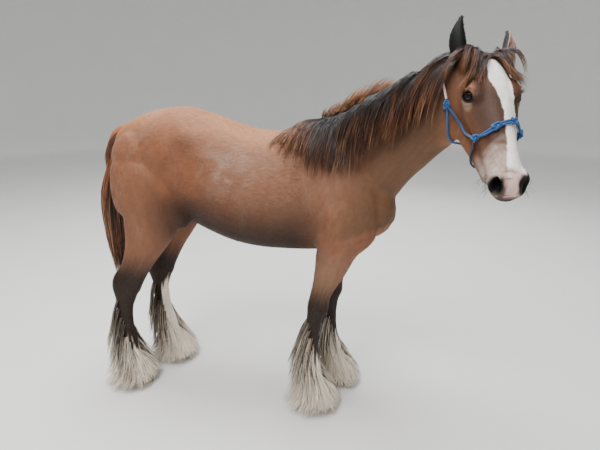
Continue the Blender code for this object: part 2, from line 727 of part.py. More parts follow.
def open_nostrils_and_mouth(cutters):
    a, b, c = head_axes()
    for side in (-1, 1):
        out = unit(0.50 * a + 0.34 * b + side * 0.80 * c)
        long = unit(0.62 * a - 0.78 * b - out * (0.62 * 0.50 - 0.78 * 0.34))
        across = np.cross(out, long)
        mouth = on_head(0.492, -0.047, side * 0.045)
        hole = Flesh()
        hole.loft([
            oval(mouth + out * d - long * back, across * wide, long * high, egg=-0.25, sides=10)
            for d, wide, high, back in
            ((-0.028, 0.006, 0.009, 0.012), (-0.006, 0.013, 0.019, 0.003), (0.030, 0.020, 0.031, 0))
        ])
        hole.object("nostril", cutters)
    slit = Flesh()
    slit.ball(on_head(0.515, -0.089, 0), (0.072, 0.0018, 0.090), head_matrix(), sides=10)
    slit.object("mouth", cutters)


def hoof_rings(corner, grow=0.0):
    """A hoof from the floor to its coronet, which slopes down to the heel."""
    foot = leg_point(corner, CORONET_HEIGHT)
    slope = math.tan(math.radians(CORONET_SLOPE))
    rings = []
    for share, toe, half_length, half_width in HOOF_RINGS:
        middle = np.array((foot[0] + toe, foot[1], share * CORONET_HEIGHT))
        ring = oval(middle, np.array((0, half_width + grow, 0)), np.array((half_length + grow, 0, 0)),
                    square=0.85, sides=18)
        ring[:, 2] += share * slope * (ring[:, 0] - foot[0])
        if grow:
            ring[:, 2] += GAP if share == 1 else (share - 1) * grow
        rings.append(ring)
    return rings


def make_hoof(corner):
    shell = Flesh()
    shell.loft(hoof_rings(corner))
    hoof = shell.object("hoof_" + corner, HORSE)
    give(hoof, "hoof")
    return hoof


def cut_below_coronet(cutters, corner):
    foot = leg_point(corner, CORONET_HEIGHT)
    work = bmesh.new()
    tilt = Matrix.Rotation(-math.radians(CORONET_SLOPE), 4, "Y")
    depth = 0.2
    place = Matrix.Translation(foot + Vector((0, 0, GAP))) @ tilt @ Matrix.Translation((0, 0, -depth / 2))
    bmesh.ops.create_cube(work, size=1.0, matrix=place @ Matrix.Diagonal((0.18, 0.16, depth, 1)))
    data = bpy.data.meshes.new("below")
    work.to_mesh(data)
    work.free()
    cutters.objects.link(bpy.data.objects.new("below", data))


def dock_rings(grow=0.0, extend=0.0):
    rows = catmull_rom(DOCK, 3)
    points = rows[:, :3].copy()
    points[0] -= extend * unit(points[1] - points[0])
    rings = []
    tangents = np.gradient(points, axis=0)
    for point, tangent, half in zip(points, tangents, rows[:, 3]):
        fore = unit(np.cross((0, 1, 0), unit(tangent)))
        rings.append(oval(point, np.array((0, half * 0.9 + grow, 0)), fore * (half + grow), sides=12))
    return rings


def signed_distance(tree, place):
    """How far a point lies outside a closed surface, and the way out of it."""
    spot, normal, _, _ = tree.find_nearest(place)
    away = place - spot
    if away.dot(normal) < -0.5 * away.length:
        return -away.length, normal
    return away.length, away.normalized() if away.length > 1e-6 else normal


def held_off(place, trees, lift):
    """The point, moved out of the first surface and at least lift away from it and from all the others."""
    for _ in range(3):
        distance, out = signed_distance(trees[0], place)
        if distance < lift:
            place = place + out * (lift - distance)
        for tree in trees[1:]:
            away = place - tree.find_nearest(place)[0]
            if away.length < lift:
                place = place + away.normalized() * (lift - away.length)
    return place


def comb(root, heading, length, lift, trees, steps, droop=0.35):
    """A lock's path over the hide: it starts at root, follows heading and droops under its own weight.

    The first tree is the hide it grows on. Returns the points and the way its flat face looks at each.
    """
    stride = length / steps
    place, way = Vector(root), Vector(heading).normalized()
    points, faces = [], []
    for i in range(steps + 1):
        _, out = signed_distance(trees[0], place)
        if i:
            place = held_off(place, trees, lift * min(1.0, i / 2))
        points.append(place.copy())
        faces.append(out)
        way = (way + Vector((0, 0, -droop))).normalized()
        near = signed_distance(trees[0], place)[0] < 3 * lift
        if near and way.dot(out) < 0:
            way = (way - out * way.dot(out)).normalized()
        place = place + way * stride
    return points, faces


def lock(hair, points, faces, half_width, thickness):
    """A flat, tapered lock with a low ridge along its outer face, as one closed object."""
    work = bmesh.new()
    rows = []
    for i in range(len(points) - 1):
        share = i / (len(points) - 1)
        ahead = (points[i + 1] - points[max(i - 1, 0)]).normalized()
        across = ahead.cross(faces[i]).normalized()
        outward = across.cross(ahead).normalized()
        wide = half_width * (0.42 + 2.2 * share - 2.6 * share**2)
        deep = thickness * (1.0 - 0.55 * share)
        ring = (-across * wide, outward * deep, across * wide, -outward * LOCK_KEEL)
        rows.append([work.verts.new(points[i] + step) for step in ring])
    tip = work.verts.new(points[-1])
    for low, high in zip(rows, rows[1:]):
        for edge, middle in ((0, 1), (0, 3), (2, 1), (2, 3)):
            work.faces.new((low[edge], high[edge], high[middle]))
            work.faces.new((low[edge], high[middle], low[middle]))
    for j in range(4):
        work.faces.new((rows[-1][j], rows[-1][(j + 1) % 4], tip))
    work.faces.new(rows[0])
    bmesh.ops.recalc_face_normals(work, faces=work.faces)
    data = bpy.data.meshes.new("lock")
    work.to_mesh(data)
    work.free()
    hair.objects.link(bpy.data.objects.new("lock", data))


def crest_points(count, first, last):
    """Places along the top of the neck, each with the way to the right and the way along the neck."""
    frames = neck_frames()
    found = []
    for t in np.linspace(first, last, count):
        low = min(int(t), len(frames) - 2)
        share = t - low
        middle, up, across = (a * (1 - share) + b * share for a, b in zip(frames[low], frames[low + 1]))
        onward = unit(frames[low + 1][0] - frames[low][0])
        right = unit(across) * (-1 if across[1] > 0 else 1)
        found.append((Vector(middle + up), Vector(right), Vector(onward)))
    return found


def mane_locks(trees):
    """Two overlapping layers that fall to the right of the crest, and tufts that rise on its left."""
    hair = new_collection("mane")
    dice = random.Random(SEED)
    for layer, (count, lift) in enumerate(MANE_LAYERS):
        for i, (crest, right, onward) in enumerate(crest_points(count, *MANE_SPAN[layer])):
            share = i / (count - 1)
            length = MANE_LENGTH * (0.80 + 0.34 * math.sin(math.pi * share**0.9)) * dice.uniform(0.92, 1.08)
            back = 0.60 - 1.1 * share if share < 0.3 else 0.27 - 0.35 * (share - 0.3)
            root = crest - Vector((0, 0, 0.026)) + right * (0.002 + 0.008 * layer)
            heading = right + Vector((0, 0, 0.35)) - onward * (back + dice.uniform(-0.04, 0.04))
            points, faces = comb(root, heading, length, lift + 0.007 * (i % 2), trees, MANE_STEPS, droop=0.75)
            lock(hair, points, faces, MANE_LOCK_WIDTH * dice.uniform(0.92, 1.08), MANE_LOCK_DEPTH)
    for i, (crest, right, onward) in enumerate(crest_points(MANE_TUFTS, 4.0, 17.0)):
        root = crest - Vector((0, 0, 0.016)) - right * 0.008
        heading = Vector((0, 0, 0.9)) - right * (0.40 + 0.30 * (i % 2)) + onward * dice.uniform(0.3, 0.7)
        points, _ = comb(root, heading, dice.uniform(0.10, 0.12), 0.012, trees, 3, droop=0.45)
        lock(hair, points, [Vector((0, 0, 1)) + right * 0.6] * len(points), 0.024, 0.005)
    return hair


def forelock_locks(trees):
    """Locks that start between the ears and part to both sides of the forehead."""
    hair = new_collection("forelock")
    dice = random.Random(SEED + 1)
    a, b, c = (Vector(v) for v in head_axes())
    for side in (-1, 1):
        for i in range(FORELOCK_LOCKS):
            share = i / (FORELOCK_LOCKS - 1)
            root = Vector(on_head(0.028 + 0.008 * share, -0.012, side * (0.026 - 0.020 * share)))
            heading = a * (0.70 + 0.40 * share) + b * 0.5 + c * side * (1.0 - 0.25 * share)
            length = dice.uniform(0.135, 0.170)
            points, faces = comb(root, heading, length, 0.006 + 0.010 * (i % 2), trees, 3, droop=0.70)
            lock(hair, points, faces, 0.019, 0.0045)
    return hair


def tail_locks(trees):
    """Long locks round the dock that hang down to the hocks. Those in front grow near its end only."""
    hair = new_collection("tail_hair")
    dice = random.Random(SEED + 2)
    rows = catmull_rom(DOCK, 6)
    for count, spread in TAIL_RINGS:
        for i in range(count):
            angle = 2 * math.pi * (i + 0.5) / count
            out = Vector((-math.cos(angle), math.sin(angle), 0))
            share = 0.56 + 0.32 * out.x + dice.uniform(-0.03, 0.05)
            start = rows[int(share * (len(rows) - 1))]
            end = TAIL_END + dice.uniform(0.0, 0.10)
            wide = spread - 0.18 * (i % 2)
            root = Vector(start[:3]) + out * start[3] * 0.3
            points = [root]
            for k in range(1, TAIL_STEPS + 1):
                t = k / TAIL_STEPS
                z = start[2] + (end - start[2]) * t
                fullness = max(0.3, math.sin(math.pi * (0.16 + 0.74 * (1.20 - z) / 0.72)))
                middle = Vector((TAIL_LINE + 0.10 * max(0, z - 1.05), 0, z))
                deep = TAIL_HALF[0] * (1.0 if out.x < 0 else 0.5)
                hang = middle + Vector((out.x * deep, out.y * TAIL_HALF[1], 0)) * wide * fullness
                place = held_off(root.lerp(hang, min(1.0, t * 2.4)), trees, 0.006)
                points.append(Vector((place.x, place.y, z)))
            lock(hair, points, [out] * len(points), TAIL_LOCK_WIDTH * dice.uniform(0.9, 1.1), 0.007)
    return hair


def bell_reach(height, out):
    """How far the bell of feather round a foot reaches from the middle of the leg. It is longest behind."""
    return np.interp(height, *zip(*FEATHER_BELL)) * (1 - FEATHER_LEAN * out.x)


def feather_locks(corner, trees):
    """Rows of hair from below the knee or hock, each over the next, that spread in a bell over the hoof."""
    hair = new_collection("feather")
    dice = random.Random(SEED + 3 + len(corner) + ord(corner[0]))
    for row, (height, count, arc, end) in enumerate(FEATHER_ROWS):
        for i in range(count):
            turn = (i + 0.5 + 0.25 * (row % 2)) / count - 0.5 + dice.uniform(-0.12, 0.12) / count
            angle = math.radians(arc) * turn
            out = Vector((-math.cos(angle), math.sin(angle), 0))
            middle = leg_point(corner, height)
            skin = (trees[0].ray_cast(middle, out)[0] or middle + out * 0.03)
            low = max(FEATHER_FLOOR, end + dice.uniform(-0.004, 0.014))
            half_width = FEATHER_LOCK_WIDTH * dice.uniform(0.9, 1.1)
            side = math.copysign(1.0, middle.y)
            room = FEATHER_APART + half_width * abs(out.x)
            points = [skin - out * 0.012]
            over = FEATHER_LAYER * (len(FEATHER_ROWS) - 1 - row + 0.5 * (i % 2))
            for k in range(1, FEATHER_STEPS + 1):
                level = skin.z + (low - skin.z) * k / FEATHER_STEPS
                axis = leg_point(corner, max(level, CORONET_HEIGHT))
                out_there = (skin - middle).length
                out_there += (bell_reach(level, out) + over - out_there) * (k / FEATHER_STEPS) ** 0.7
                place = Vector((axis.x, axis.y, level)) + out * out_there
                place.y = side * max(side * place.y, room)
                points.append(held_off(place, trees, 0.004) if k < FEATHER_STEPS else place)
            lock(hair, points, [out] * len(points), half_width, 0.0055)
    return hair


def join_hair(node, hair):
    """Fuses a node with its locks and keeps the one body they make."""
    look = node.data.materials[0]
    boolean(node, hair, "UNION", "MANIFOLD")
    kept = keep_largest(node)
    kept.data.materials.clear()
    kept.data.materials.append(look)
    return kept


def tree_of(objects):
    points, faces = [], []
    for obj in objects:
        first = len(points)
        points += [v.co.copy() for v in obj.data.vertices]
        faces += [tuple(first + i for i in p.vertices) for p in obj.data.polygons]
    return BVHTree.FromPolygons(points, faces)


def to_bottom_centre():
    """Moves everything so that the origin is the bottom centre of the whole box. Returns the move."""
    low, high = np.full(3, 1e9), np.full(3, -1e9)
    for obj in HORSE.objects:
        co = coordinates(obj.data)
        low, high = np.minimum(low, co.min(0)), np.maximum(high, co.max(0))
    move = -np.array(((low[0] + high[0]) / 2, (low[1] + high[1]) / 2, low[2]))
    for obj in HORSE.objects:
        obj.data.transform(Matrix.Translation(move))
    return move


def nodes_from(body):
    """Cuts the fused flesh into its nodes and names each by a place inside it."""
    cutters = new_collection("cutters")
    for side in (-1, 1):
        open_eye(cutters, side)
        root = Flesh()
        root.loft(ear_rings(side, grow=0.0012, shift=GAP))
        root.object("ear_room", cutters)
    open_nostrils_and_mouth(cutters)
    room = Flesh()
    room.loft(dock_rings(grow=0.0015, extend=GAP))
    room.object("dock_room", cutters)
    middle, up, across = neck_frames()[HEAD_CUT]
    slab(cutters, middle, np.cross(across, up), 0.50)
    top, low = np.array(NECK_CUT[0]), np.array(NECK_CUT[1])
    line = top - low
    slab(cutters, (top + low) / 2, (line[2], 0, -line[0]), 0.80)
    for corner in FOOT_SHIFT:
        fore = corner.startswith("fore")
        high, mid = (ELBOW_HEIGHT, KNEE_HEIGHT) if fore else (STIFLE_HEIGHT, HOCK_HEIGHT)
        spot = leg_point(corner, high)
        side = math.copysign(1, spot.y)
        slab(cutters, (spot.x + 0.006, side * 0.16, high), (0, 0, 1), 0.30)
        slab(cutters, leg_point(corner, mid), (0.15 if fore else 0.35, 0, 1), 0.22)
        cut_below_coronet(cutters, corner)
    boolean(body, cutters, "DIFFERENCE")
    places = {"head": on_head(0.3, -0.02), "neck": neck_frames()[10][0], "torso": (0.60, 0, 1.27)}
    for corner in FOOT_SHIFT:
        fore = corner.startswith("fore")
        places[corner + "_upper"] = leg_point(corner, 0.62)
        places[corner + "_lower"] = leg_point(corner, 0.30)
    made = {}
    co = coordinates(body.data)
    pieces = [(faces, np.array([co[list(body.data.polygons[f].vertices)].mean(0) for f in faces]))
              for faces in shells(body)]
    for name, place in places.items():
        faces, _ = min(pieces, key=lambda piece: np.linalg.norm(piece[1] - np.array(place), axis=1).min())
        made[name] = extract(body, faces, name)
    bpy.data.objects.remove(body)
    return made


def trim_to_knots(laid):
    """Drops what would run into the knot at each end of a rope, and ends it just clear of that knot."""
    clear = ROPE_RADIUS * (KNOT + 2) + 3 * GAP
    for _ in range(2):
        knot = laid[0][0]
        laid = [item for item in laid if (item[0] - knot).length > clear]
        out = (laid[0][0] - knot).normalized()
        laid.insert(0, (knot + out * clear, 1.0))
        laid.reverse()
    return laid


def clear_of_hide(laid, tree):
    """Eases a rope's sharp bends and pushes it outwards until its straight stretches clear the hide."""
    for turn in range(ROPE_ROUNDS):
        if turn < ROPE_ROUNDS / 2:
            for before, (place, _), after in zip(laid, laid[1:], laid[2:]):
                place.xyz = place.lerp((before[0] + after[0]) / 2, 0.2)
        for start, end in zip(laid, laid[1:]):
            for share in np.linspace(0, 1, 7):
                place = start[0].lerp(end[0], share)
                thick = ROPE_RADIUS * (start[1] + (end[1] - start[1]) * share)
                spot, normal, _, _ = tree.find_nearest(place)
                lack = thick + ROPE_LIFT / 2 - (place - spot).dot(normal)
                if lack > 0:
                    start[0].xyz += normal * lack * (1 - share)
                    end[0].xyz += normal * lack * share
    return laid


def rope(name, points, tree, knots=()):
    """A rope laid on the head through points given in the head's own frame. Knots are fatter places."""
    laid = []
    for i, place in enumerate(catmull_rom(points, ROPE_STEPS)):
        fat = KNOT if i / ROPE_STEPS in knots else 1.0
        spot, normal, _, _ = tree.find_nearest(Vector(on_head(*place)))
        laid.append((spot + normal * (ROPE_RADIUS * fat + ROPE_LIFT), fat))
    if name in TRIMMED:
        laid = trim_to_knots(laid)
    laid = clear_of_hide(laid, tree)
    data = bpy.data.curves.new(name, "CURVE")
    data.dimensions = "3D"
    data.bevel_depth = ROPE_RADIUS
    data.bevel_resolution = 1
    data.use_fill_caps = True
    spline = data.splines.new("POLY")
    spline.points.add(len(laid) - 1)
    for (place, fat), target in zip(laid, spline.points):
        target.co = (*place, 1)
        target.radius = fat
    curve = bpy.data.objects.new(name + "_line", data)
    HORSE.objects.link(curve)
    graph = bpy.context.evaluated_depsgraph_get()
    solid = bpy.data.meshes.new_from_object(curve.evaluated_get(graph))
    bpy.data.objects.remove(curve)
    work = bmesh.new()
    work.from_mesh(solid)
    bmesh.ops.remove_doubles(work, verts=work.verts, dist=1e-6)
    bmesh.ops.recalc_face_normals(work, faces=work.faces)
    work.to_mesh(solid)
    work.free()
    made = bpy.data.objects.new(name, solid)
    HORSE.objects.link(made)
    give(made, "halter_rope")
    return made


def make_horse():
    """Makes every node of the horse. Returns the move that put the origin under its box."""
    body = fused_flesh()
    relax(body, 250, weight=trunk_share(body))
    relax(body, 24)
    sculpt_body(body)
    sculpt_head(body)
    relax(body, 3)
    thin_flesh(body)
    seat_lids(body)
    tree = BVHTree.FromPolygons(
        [v.co.copy() for v in body.data.vertices], [tuple(p.vertices) for p in body.data.polygons]
    )
    nodes = nodes_from(body)
    for name, node in nodes.items():
        give(node, "dark_points" if "lower" in name else "bay_coat")
    for name in ("ear_right", "ear_left"):
        nodes[name] = make_ear(name)
    for name in ("eye_right", "eye_left"):
        nodes[name] = make_eye(name)
    for corner in FOOT_SHIFT:
        nodes["hoof_" + corner] = make_hoof(corner)
        hooves = tree_of([nodes["hoof_" + corner]])
        lower = corner + "_lower"
        nodes[lower] = join_hair(nodes[lower], feather_locks(corner, [tree, hooves]))
    for name, (points, knots) in ROPES.items():
        nodes[name] = rope(name, points, tree, knots)
    worn = tree_of([node for name, node in nodes.items() if name.startswith(("halter", "ear", "eye"))])
    dock = Flesh()
    dock.loft(dock_rings())
    nodes["tail"] = dock.object("tail", HORSE)
    give(nodes["tail"], "dark_points")
    nodes["tail"] = join_hair(nodes["tail"], tail_locks([tree]))
    nodes["neck"] = join_hair(nodes["neck"], mane_locks([tree, worn]))
    nodes["head"] = join_hair(nodes["head"], forelock_locks([tree, worn]))
    return to_bottom_centre()


for old in list(bpy.data.objects):
    bpy.data.objects.remove(old)
HORSE = new_collection("horse")
MOVED = make_horse()
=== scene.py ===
"""The looks of a young gypsy vanner horse: hide, hair, eyes, hooves and rope halter.

While the horse is drawn, x = 0 lies under the middle of its hind feet. Each finished piece is then
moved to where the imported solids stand.
"""
import json
import math
import random

import bmesh
import bpy
import numpy as np
from mathutils import Matrix, Vector
from mathutils.bvhtree import BVHTree

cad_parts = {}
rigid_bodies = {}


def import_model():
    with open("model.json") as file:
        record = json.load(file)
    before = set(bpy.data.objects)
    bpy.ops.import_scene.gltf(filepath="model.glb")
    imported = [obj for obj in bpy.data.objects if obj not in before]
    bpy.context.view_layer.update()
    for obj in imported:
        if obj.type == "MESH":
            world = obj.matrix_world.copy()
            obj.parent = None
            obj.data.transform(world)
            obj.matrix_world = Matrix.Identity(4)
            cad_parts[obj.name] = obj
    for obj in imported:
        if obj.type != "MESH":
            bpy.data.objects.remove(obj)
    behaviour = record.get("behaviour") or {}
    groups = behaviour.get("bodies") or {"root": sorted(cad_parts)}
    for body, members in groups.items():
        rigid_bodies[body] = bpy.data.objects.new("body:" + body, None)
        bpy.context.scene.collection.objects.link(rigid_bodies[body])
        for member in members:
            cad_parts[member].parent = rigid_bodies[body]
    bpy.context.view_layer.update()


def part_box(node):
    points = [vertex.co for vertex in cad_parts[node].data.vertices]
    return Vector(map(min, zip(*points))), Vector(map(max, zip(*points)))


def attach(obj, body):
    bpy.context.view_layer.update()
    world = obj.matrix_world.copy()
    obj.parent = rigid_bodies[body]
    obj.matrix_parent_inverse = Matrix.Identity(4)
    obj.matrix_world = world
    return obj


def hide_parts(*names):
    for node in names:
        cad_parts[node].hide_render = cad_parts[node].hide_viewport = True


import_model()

# Sizes of the horse, in metres, as its solids have them. Only its lids and nostrils open wider here.
VOXEL = 0.0065
HEAD_SCALE = 0.965
POLL = (1.462, -0.250, 1.5565)
HEAD_YAW = 12.0
HEAD_PITCH = 42.0
EYE_RADIUS = 0.0215
EYE_PLACE = (0.166, -0.036, 0.0700)
EYE_OPENING = (0.0212, 0.0150)
EYE_LOOK = (0.42, 0.46, 0.78)
# How far out of the eye, in radii, and how much wider the opening between the lids is there
LID_OPENING = [(0.4, 0.92), (0.9, 1.0), (1.3, 1.06), (2.2, 1.4)]
# Each nostril's rings: how far out of it, half width, half height, and how far towards its back
NOSTRIL = [(-0.026, 0.007, 0.011, 0.010), (-0.016, 0.012, 0.018, 0.006), (-0.006, 0.0145, 0.024, 0.003),
           (0.008, 0.0165, 0.028, 0.001), (0.030, 0.022, 0.038, 0)]
EYE_SLANT = (0.74, 0.67)
LID = 0.0032
LID_RIMS = (0.0019, 0.0015)    # half the thickness of the upper and of the lower
CORONET_HEIGHT = 0.078
CORONET_SLOPE = 14.0
EAR_LENGTH = 0.158
RIGHT_EAR_SHORTER = 0.90
ROPE_RADIUS = 0.0036
ROPE_LIFT = 0.0012
HOOF_TOE = 0.012        # how far the middle of a hoof's sole is ahead of its leg

# How far each round of smoothing moves a point in, and then back out, towards the middle of its neighbours
RELAX_IN = 0.5
RELAX_OUT = -0.52

# Sizes of the looks
COAT_DEPTH = 0.0015     # of the short coat, which the hide lies under
SHORTEST = 0.35         # of a lock, the share that its shortest strand has
STRAND_FLOOR = 0.0025   # the lowest that a strand comes
STRAND_LIFT = 0.0015    # of mane and forelock off the hide
WHISKER = 0.00035       # half the width of a whisker or lash
FAR_FROM_HIDE = 0.08    # from where on a strand is left as it hangs
SEED = 12
PATCH = 0.003           # across, of each tuft's place on the unwrap
TRUNK_TRIANGLES = 46000
# The short coat, piece by piece: regions, side, how many tufts, their length and half width, seed
COATS = [
    ("coat_trunk_right", (0,), -1, 30000, 0.019, 0.0010, 41),
    ("coat_trunk_left", (0,), 1, 30000, 0.019, 0.0010, 42),
    ("coat_neck", (1,), 0, 24000, 0.017, 0.0010, 43),
    ("coat_head", (2,), 0, 35000, 0.0075, 0.0006, 44),
    ("coat_legs", (3, 4, 5, 6), 0, 35000, 0.016, 0.0010, 45),
]
# Each light: its name, place from the middle of the studio, size, power and colour
LIGHTS = [
    ("key", (-0.6, -3.0, 4.2), 2.4, 260, (1.0, 0.98, 0.95)),
    ("top", (-0.6, 0.4, 4.6), 3.0, 380, (0.98, 0.99, 1.0)),
    ("left_fill", (0.5, 4.0, 2.0), 3.5, 50, (0.95, 0.97, 1.0)),
]
# The sweep of the studio floor: how far from the middle and how high
SWEEP = [(0.02, 0.0), (8.0, 0.0), (9.6, 0.35), (10.8, 1.4), (11.4, 3.2), (11.6, 9.0)]
FLOOR_SIDES = 128
SKY = 0.62
STUDIO_MIDDLE = (0.6, 0, 0.9)
# The camera's place, its tilt up from straight down and its turn to the left in degrees, and its lens and
# sensor in millimetres
CAMERA_PLACE = (1.21568142, -1.89109733, 1.44)
CAMERA_TILT = 73
CAMERA_TURN = 12.7671792
CAMERA_LENS = 27
CAMERA_SENSOR = 36

# One row for each cross-section of the trunk: x, top, bottom, half width, height of the widest place
TRUNK = [
    (-0.085, 1.225, 1.030, 0.045, 1.130),
    (-0.040, 1.268, 0.960, 0.092, 1.130),
    (0.050, 1.318, 0.900, 0.145, 1.130),
    (0.160, 1.350, 0.870, 0.180, 1.130),
    (0.280, 1.360, 0.845, 0.196, 1.120),
    (0.390, 1.334, 0.800, 0.202, 1.060),
    (0.500, 1.298, 0.764, 0.212, 1.020),
    (0.620, 1.268, 0.746, 0.212, 1.000),
    (0.740, 1.270, 0.744, 0.196, 0.990),
    (0.860, 1.312, 0.748, 0.165, 0.980),
    (0.970, 1.315, 0.765, 0.150, 0.980),
    (1.080, 1.260, 0.800, 0.140, 0.990),
    (1.160, 1.140, 0.850, 0.110, 0.985),
    (1.200, 1.060, 0.905, 0.060, 0.980),
]
# One row for each cross-section of the neck: crest point, throat point, half width
NECK = [
    (0.800, 0.000, 1.285, 1.080, 0.000, 0.860, 0.125),
    (0.880, 0.000, 1.318, 1.165, -0.010, 0.925, 0.122),
    (0.985, -0.020, 1.340, 1.200, -0.050, 1.010, 0.104),
    (1.105, -0.064, 1.395, 1.250, -0.105, 1.095, 0.086),
    (1.200, -0.112, 1.448, 1.297, -0.155, 1.155, 0.075),
    (1.290, -0.165, 1.500, 1.340, -0.205, 1.212, 0.069),
    (1.365, -0.217, 1.541, 1.385, -0.250, 1.262, 0.066),
    (1.440, -0.245, 1.552, 1.440, -0.275, 1.330, 0.058),
]
# Legs: x, y, z, half depth fore and aft, half width. y is outwards from the middle.
FORE_LEG = [
    (0.890, 0.050, 1.215, 0.050, 0.030),
    (0.960, 0.092, 1.130, 0.100, 0.055),
    (1.030, 0.112, 1.000, 0.120, 0.066),
    (1.010, 0.118, 0.890, 0.128, 0.068),
    (0.976, 0.118, 0.800, 0.092, 0.063),
    (0.948, 0.115, 0.700, 0.070, 0.053),
    (0.918, 0.111, 0.610, 0.050, 0.043),
    (0.902, 0.109, 0.555, 0.045, 0.041),
    (0.893, 0.108, 0.505, 0.047, 0.045),
    (0.880, 0.107, 0.450, 0.037, 0.037),
    (0.870, 0.106, 0.370, 0.031, 0.029),
    (0.866, 0.106, 0.280, 0.031, 0.028),
    (0.868, 0.106, 0.208, 0.040, 0.035),
    (0.884, 0.106, 0.145, 0.034, 0.033),
    (0.902, 0.106, 0.080, 0.044, 0.042),
    (0.905, 0.106, 0.050, 0.044, 0.042),
]
HIND_LEG = [
    (0.165, 0.076, 1.190, 0.080, 0.045),
    (0.128, 0.102, 1.110, 0.172, 0.082),
    (0.115, 0.122, 0.990, 0.175, 0.088),
    (0.125, 0.130, 0.885, 0.146, 0.080),
    (0.092, 0.130, 0.785, 0.108, 0.067),
    (0.048, 0.127, 0.690, 0.078, 0.052),
    (0.000, 0.125, 0.600, 0.066, 0.042),
    (-0.047, 0.125, 0.525, 0.072, 0.043),
    (-0.060, 0.125, 0.460, 0.052, 0.038),
    (-0.068, 0.125, 0.400, 0.038, 0.032),
    (-0.070, 0.125, 0.310, 0.034, 0.029),
    (-0.068, 0.125, 0.215, 0.043, 0.036),
    (-0.052, 0.125, 0.150, 0.035, 0.033),
    (-0.034, 0.125, 0.082, 0.045, 0.043),
    (-0.031, 0.125, 0.050, 0.045, 0.043),
]
# How far each foot is set forward of the rows above, fading out by the top of the leg
LEG_TOP = 0.86
FOOT_SHIFT = {"fore_right": 0.000, "fore_left": 0.082, "hind_right": 0.000, "hind_left": 0.110}
# The skull and nose: along the face, top, bottom, half width, height of the widest place
SKULL = [
    (-0.030, -0.040, -0.110, 0.040, -0.080),
    (0.010, -0.004, -0.125, 0.062, -0.070),
    (0.060, 0.012, -0.140, 0.076, -0.060),
    (0.115, 0.018, -0.145, 0.091, -0.052),
    (0.170, 0.015, -0.145, 0.096, -0.057),
    (0.220, 0.008, -0.140, 0.085, -0.060),
    (0.280, 0.001, -0.130, 0.071, -0.060),
    (0.340, -0.003, -0.120, 0.061, -0.058),
    (0.400, -0.006, -0.112, 0.056, -0.056),
    (0.445, -0.008, -0.108, 0.057, -0.055),
    (0.480, -0.014, -0.105, 0.058, -0.056),
    (0.507, -0.028, -0.098, 0.050, -0.062),
    (0.522, -0.046, -0.088, 0.032, -0.066),
]

EAR_STATIONS = (0.0, 0.07, 0.14, 0.24, 0.34, 0.45, 0.56, 0.66, 0.76, 0.84, 0.91, 0.96, 1.0)
EAR_WALL = 0.0036
# How half the width of an ear changes up its length
EAR_HALF_WIDTHS = [(0.0, 0.0215), (0.14, 0.0260), (0.34, 0.0285), (0.56, 0.0255), (0.76, 0.0165),
                   (0.91, 0.0075), (1.0, 0.0015)]
# Which way each ear opens, as parts along the face, above it and to the horse's right
EAR_OPENING = {1: (0.10, -0.75, -0.60), -1: (0.40, 0.70, -0.55)}
# A hoof's rings: share of its height, how far forward, half length and half width
HOOF_RINGS = [(0.0, 0.0120, 0.0600, 0.0550), (0.03, 0.0118, 0.0618, 0.0568), (0.25, 0.009, 0.0585, 0.0540),
              (0.5, 0.006, 0.0550, 0.0510), (0.75, 0.003, 0.0515, 0.0485), (0.97, 0.0, 0.0485, 0.0465),
              (1.0, 0.0, 0.0455, 0.0435)]
# The bone of the tail: x, y, z and half thickness
DOCK = [(-0.030, 0, 1.250, 0.034), (-0.085, 0, 1.222, 0.032), (-0.125, 0, 1.150, 0.027),
        (-0.145, 0, 1.060, 0.022), (-0.150, 0, 0.960, 0.015), (-0.152, 0, 0.900, 0.006)]

# Each layer of the mane: how many guides, how far off the hide, from where to where along the neck
MANE_LAYERS = [(40, 0.004, 1.6, 19.6), (34, 0.010, 2.0, 19.4), (30, 0.016, 2.6, 19.0), (22, 0.022, 3.2, 18.6)]
MANE_LENGTH = 0.285
POLL_GUIDES = 28
MANE_STRANDS = 27
FAN_GUIDES = 34
FAN_STRANDS = 26
FORELOCK_GUIDES = 12    # to each side
FORELOCK_STRANDS = 34
# Each ring of guides in the tail: how many, and how far out they hang
TAIL_RINGS = [(20, 1.0), (16, 0.72), (10, 0.40)]
TAIL_STRANDS = 60
TAIL_STEPS = 9
TAIL_TUFTS = 46
TAIL_END = 0.47
TAIL_LINE = -0.152
TAIL_HALF = (0.052, 0.058)
# Rows of feather: height of the roots, how many guides, arc behind the leg, height of the tips
FEATHER_ROWS = [(0.440, 7, 110, 0.190), (0.400, 9, 140, 0.140), (0.355, 11, 170, 0.100),
                (0.310, 12, 200, 0.070), (0.265, 13, 230, 0.045), (0.220, 15, 260, 0.028),
                (0.175, 18, 310, 0.014), (0.135, 22, 360, 0.008), (0.105, 24, 360, 0.004)]
# The bell that they make: height and reach from the middle of the leg
FEATHER_BELL = [(0.0, 0.146), (0.03, 0.136), (0.06, 0.123), (0.12, 0.100), (0.20, 0.080), (0.30, 0.064),
                (0.42, 0.048)]
FEATHER_LEAN = 0.24
FEATHER_APART = 0.006
FEATHER_STRANDS = 19

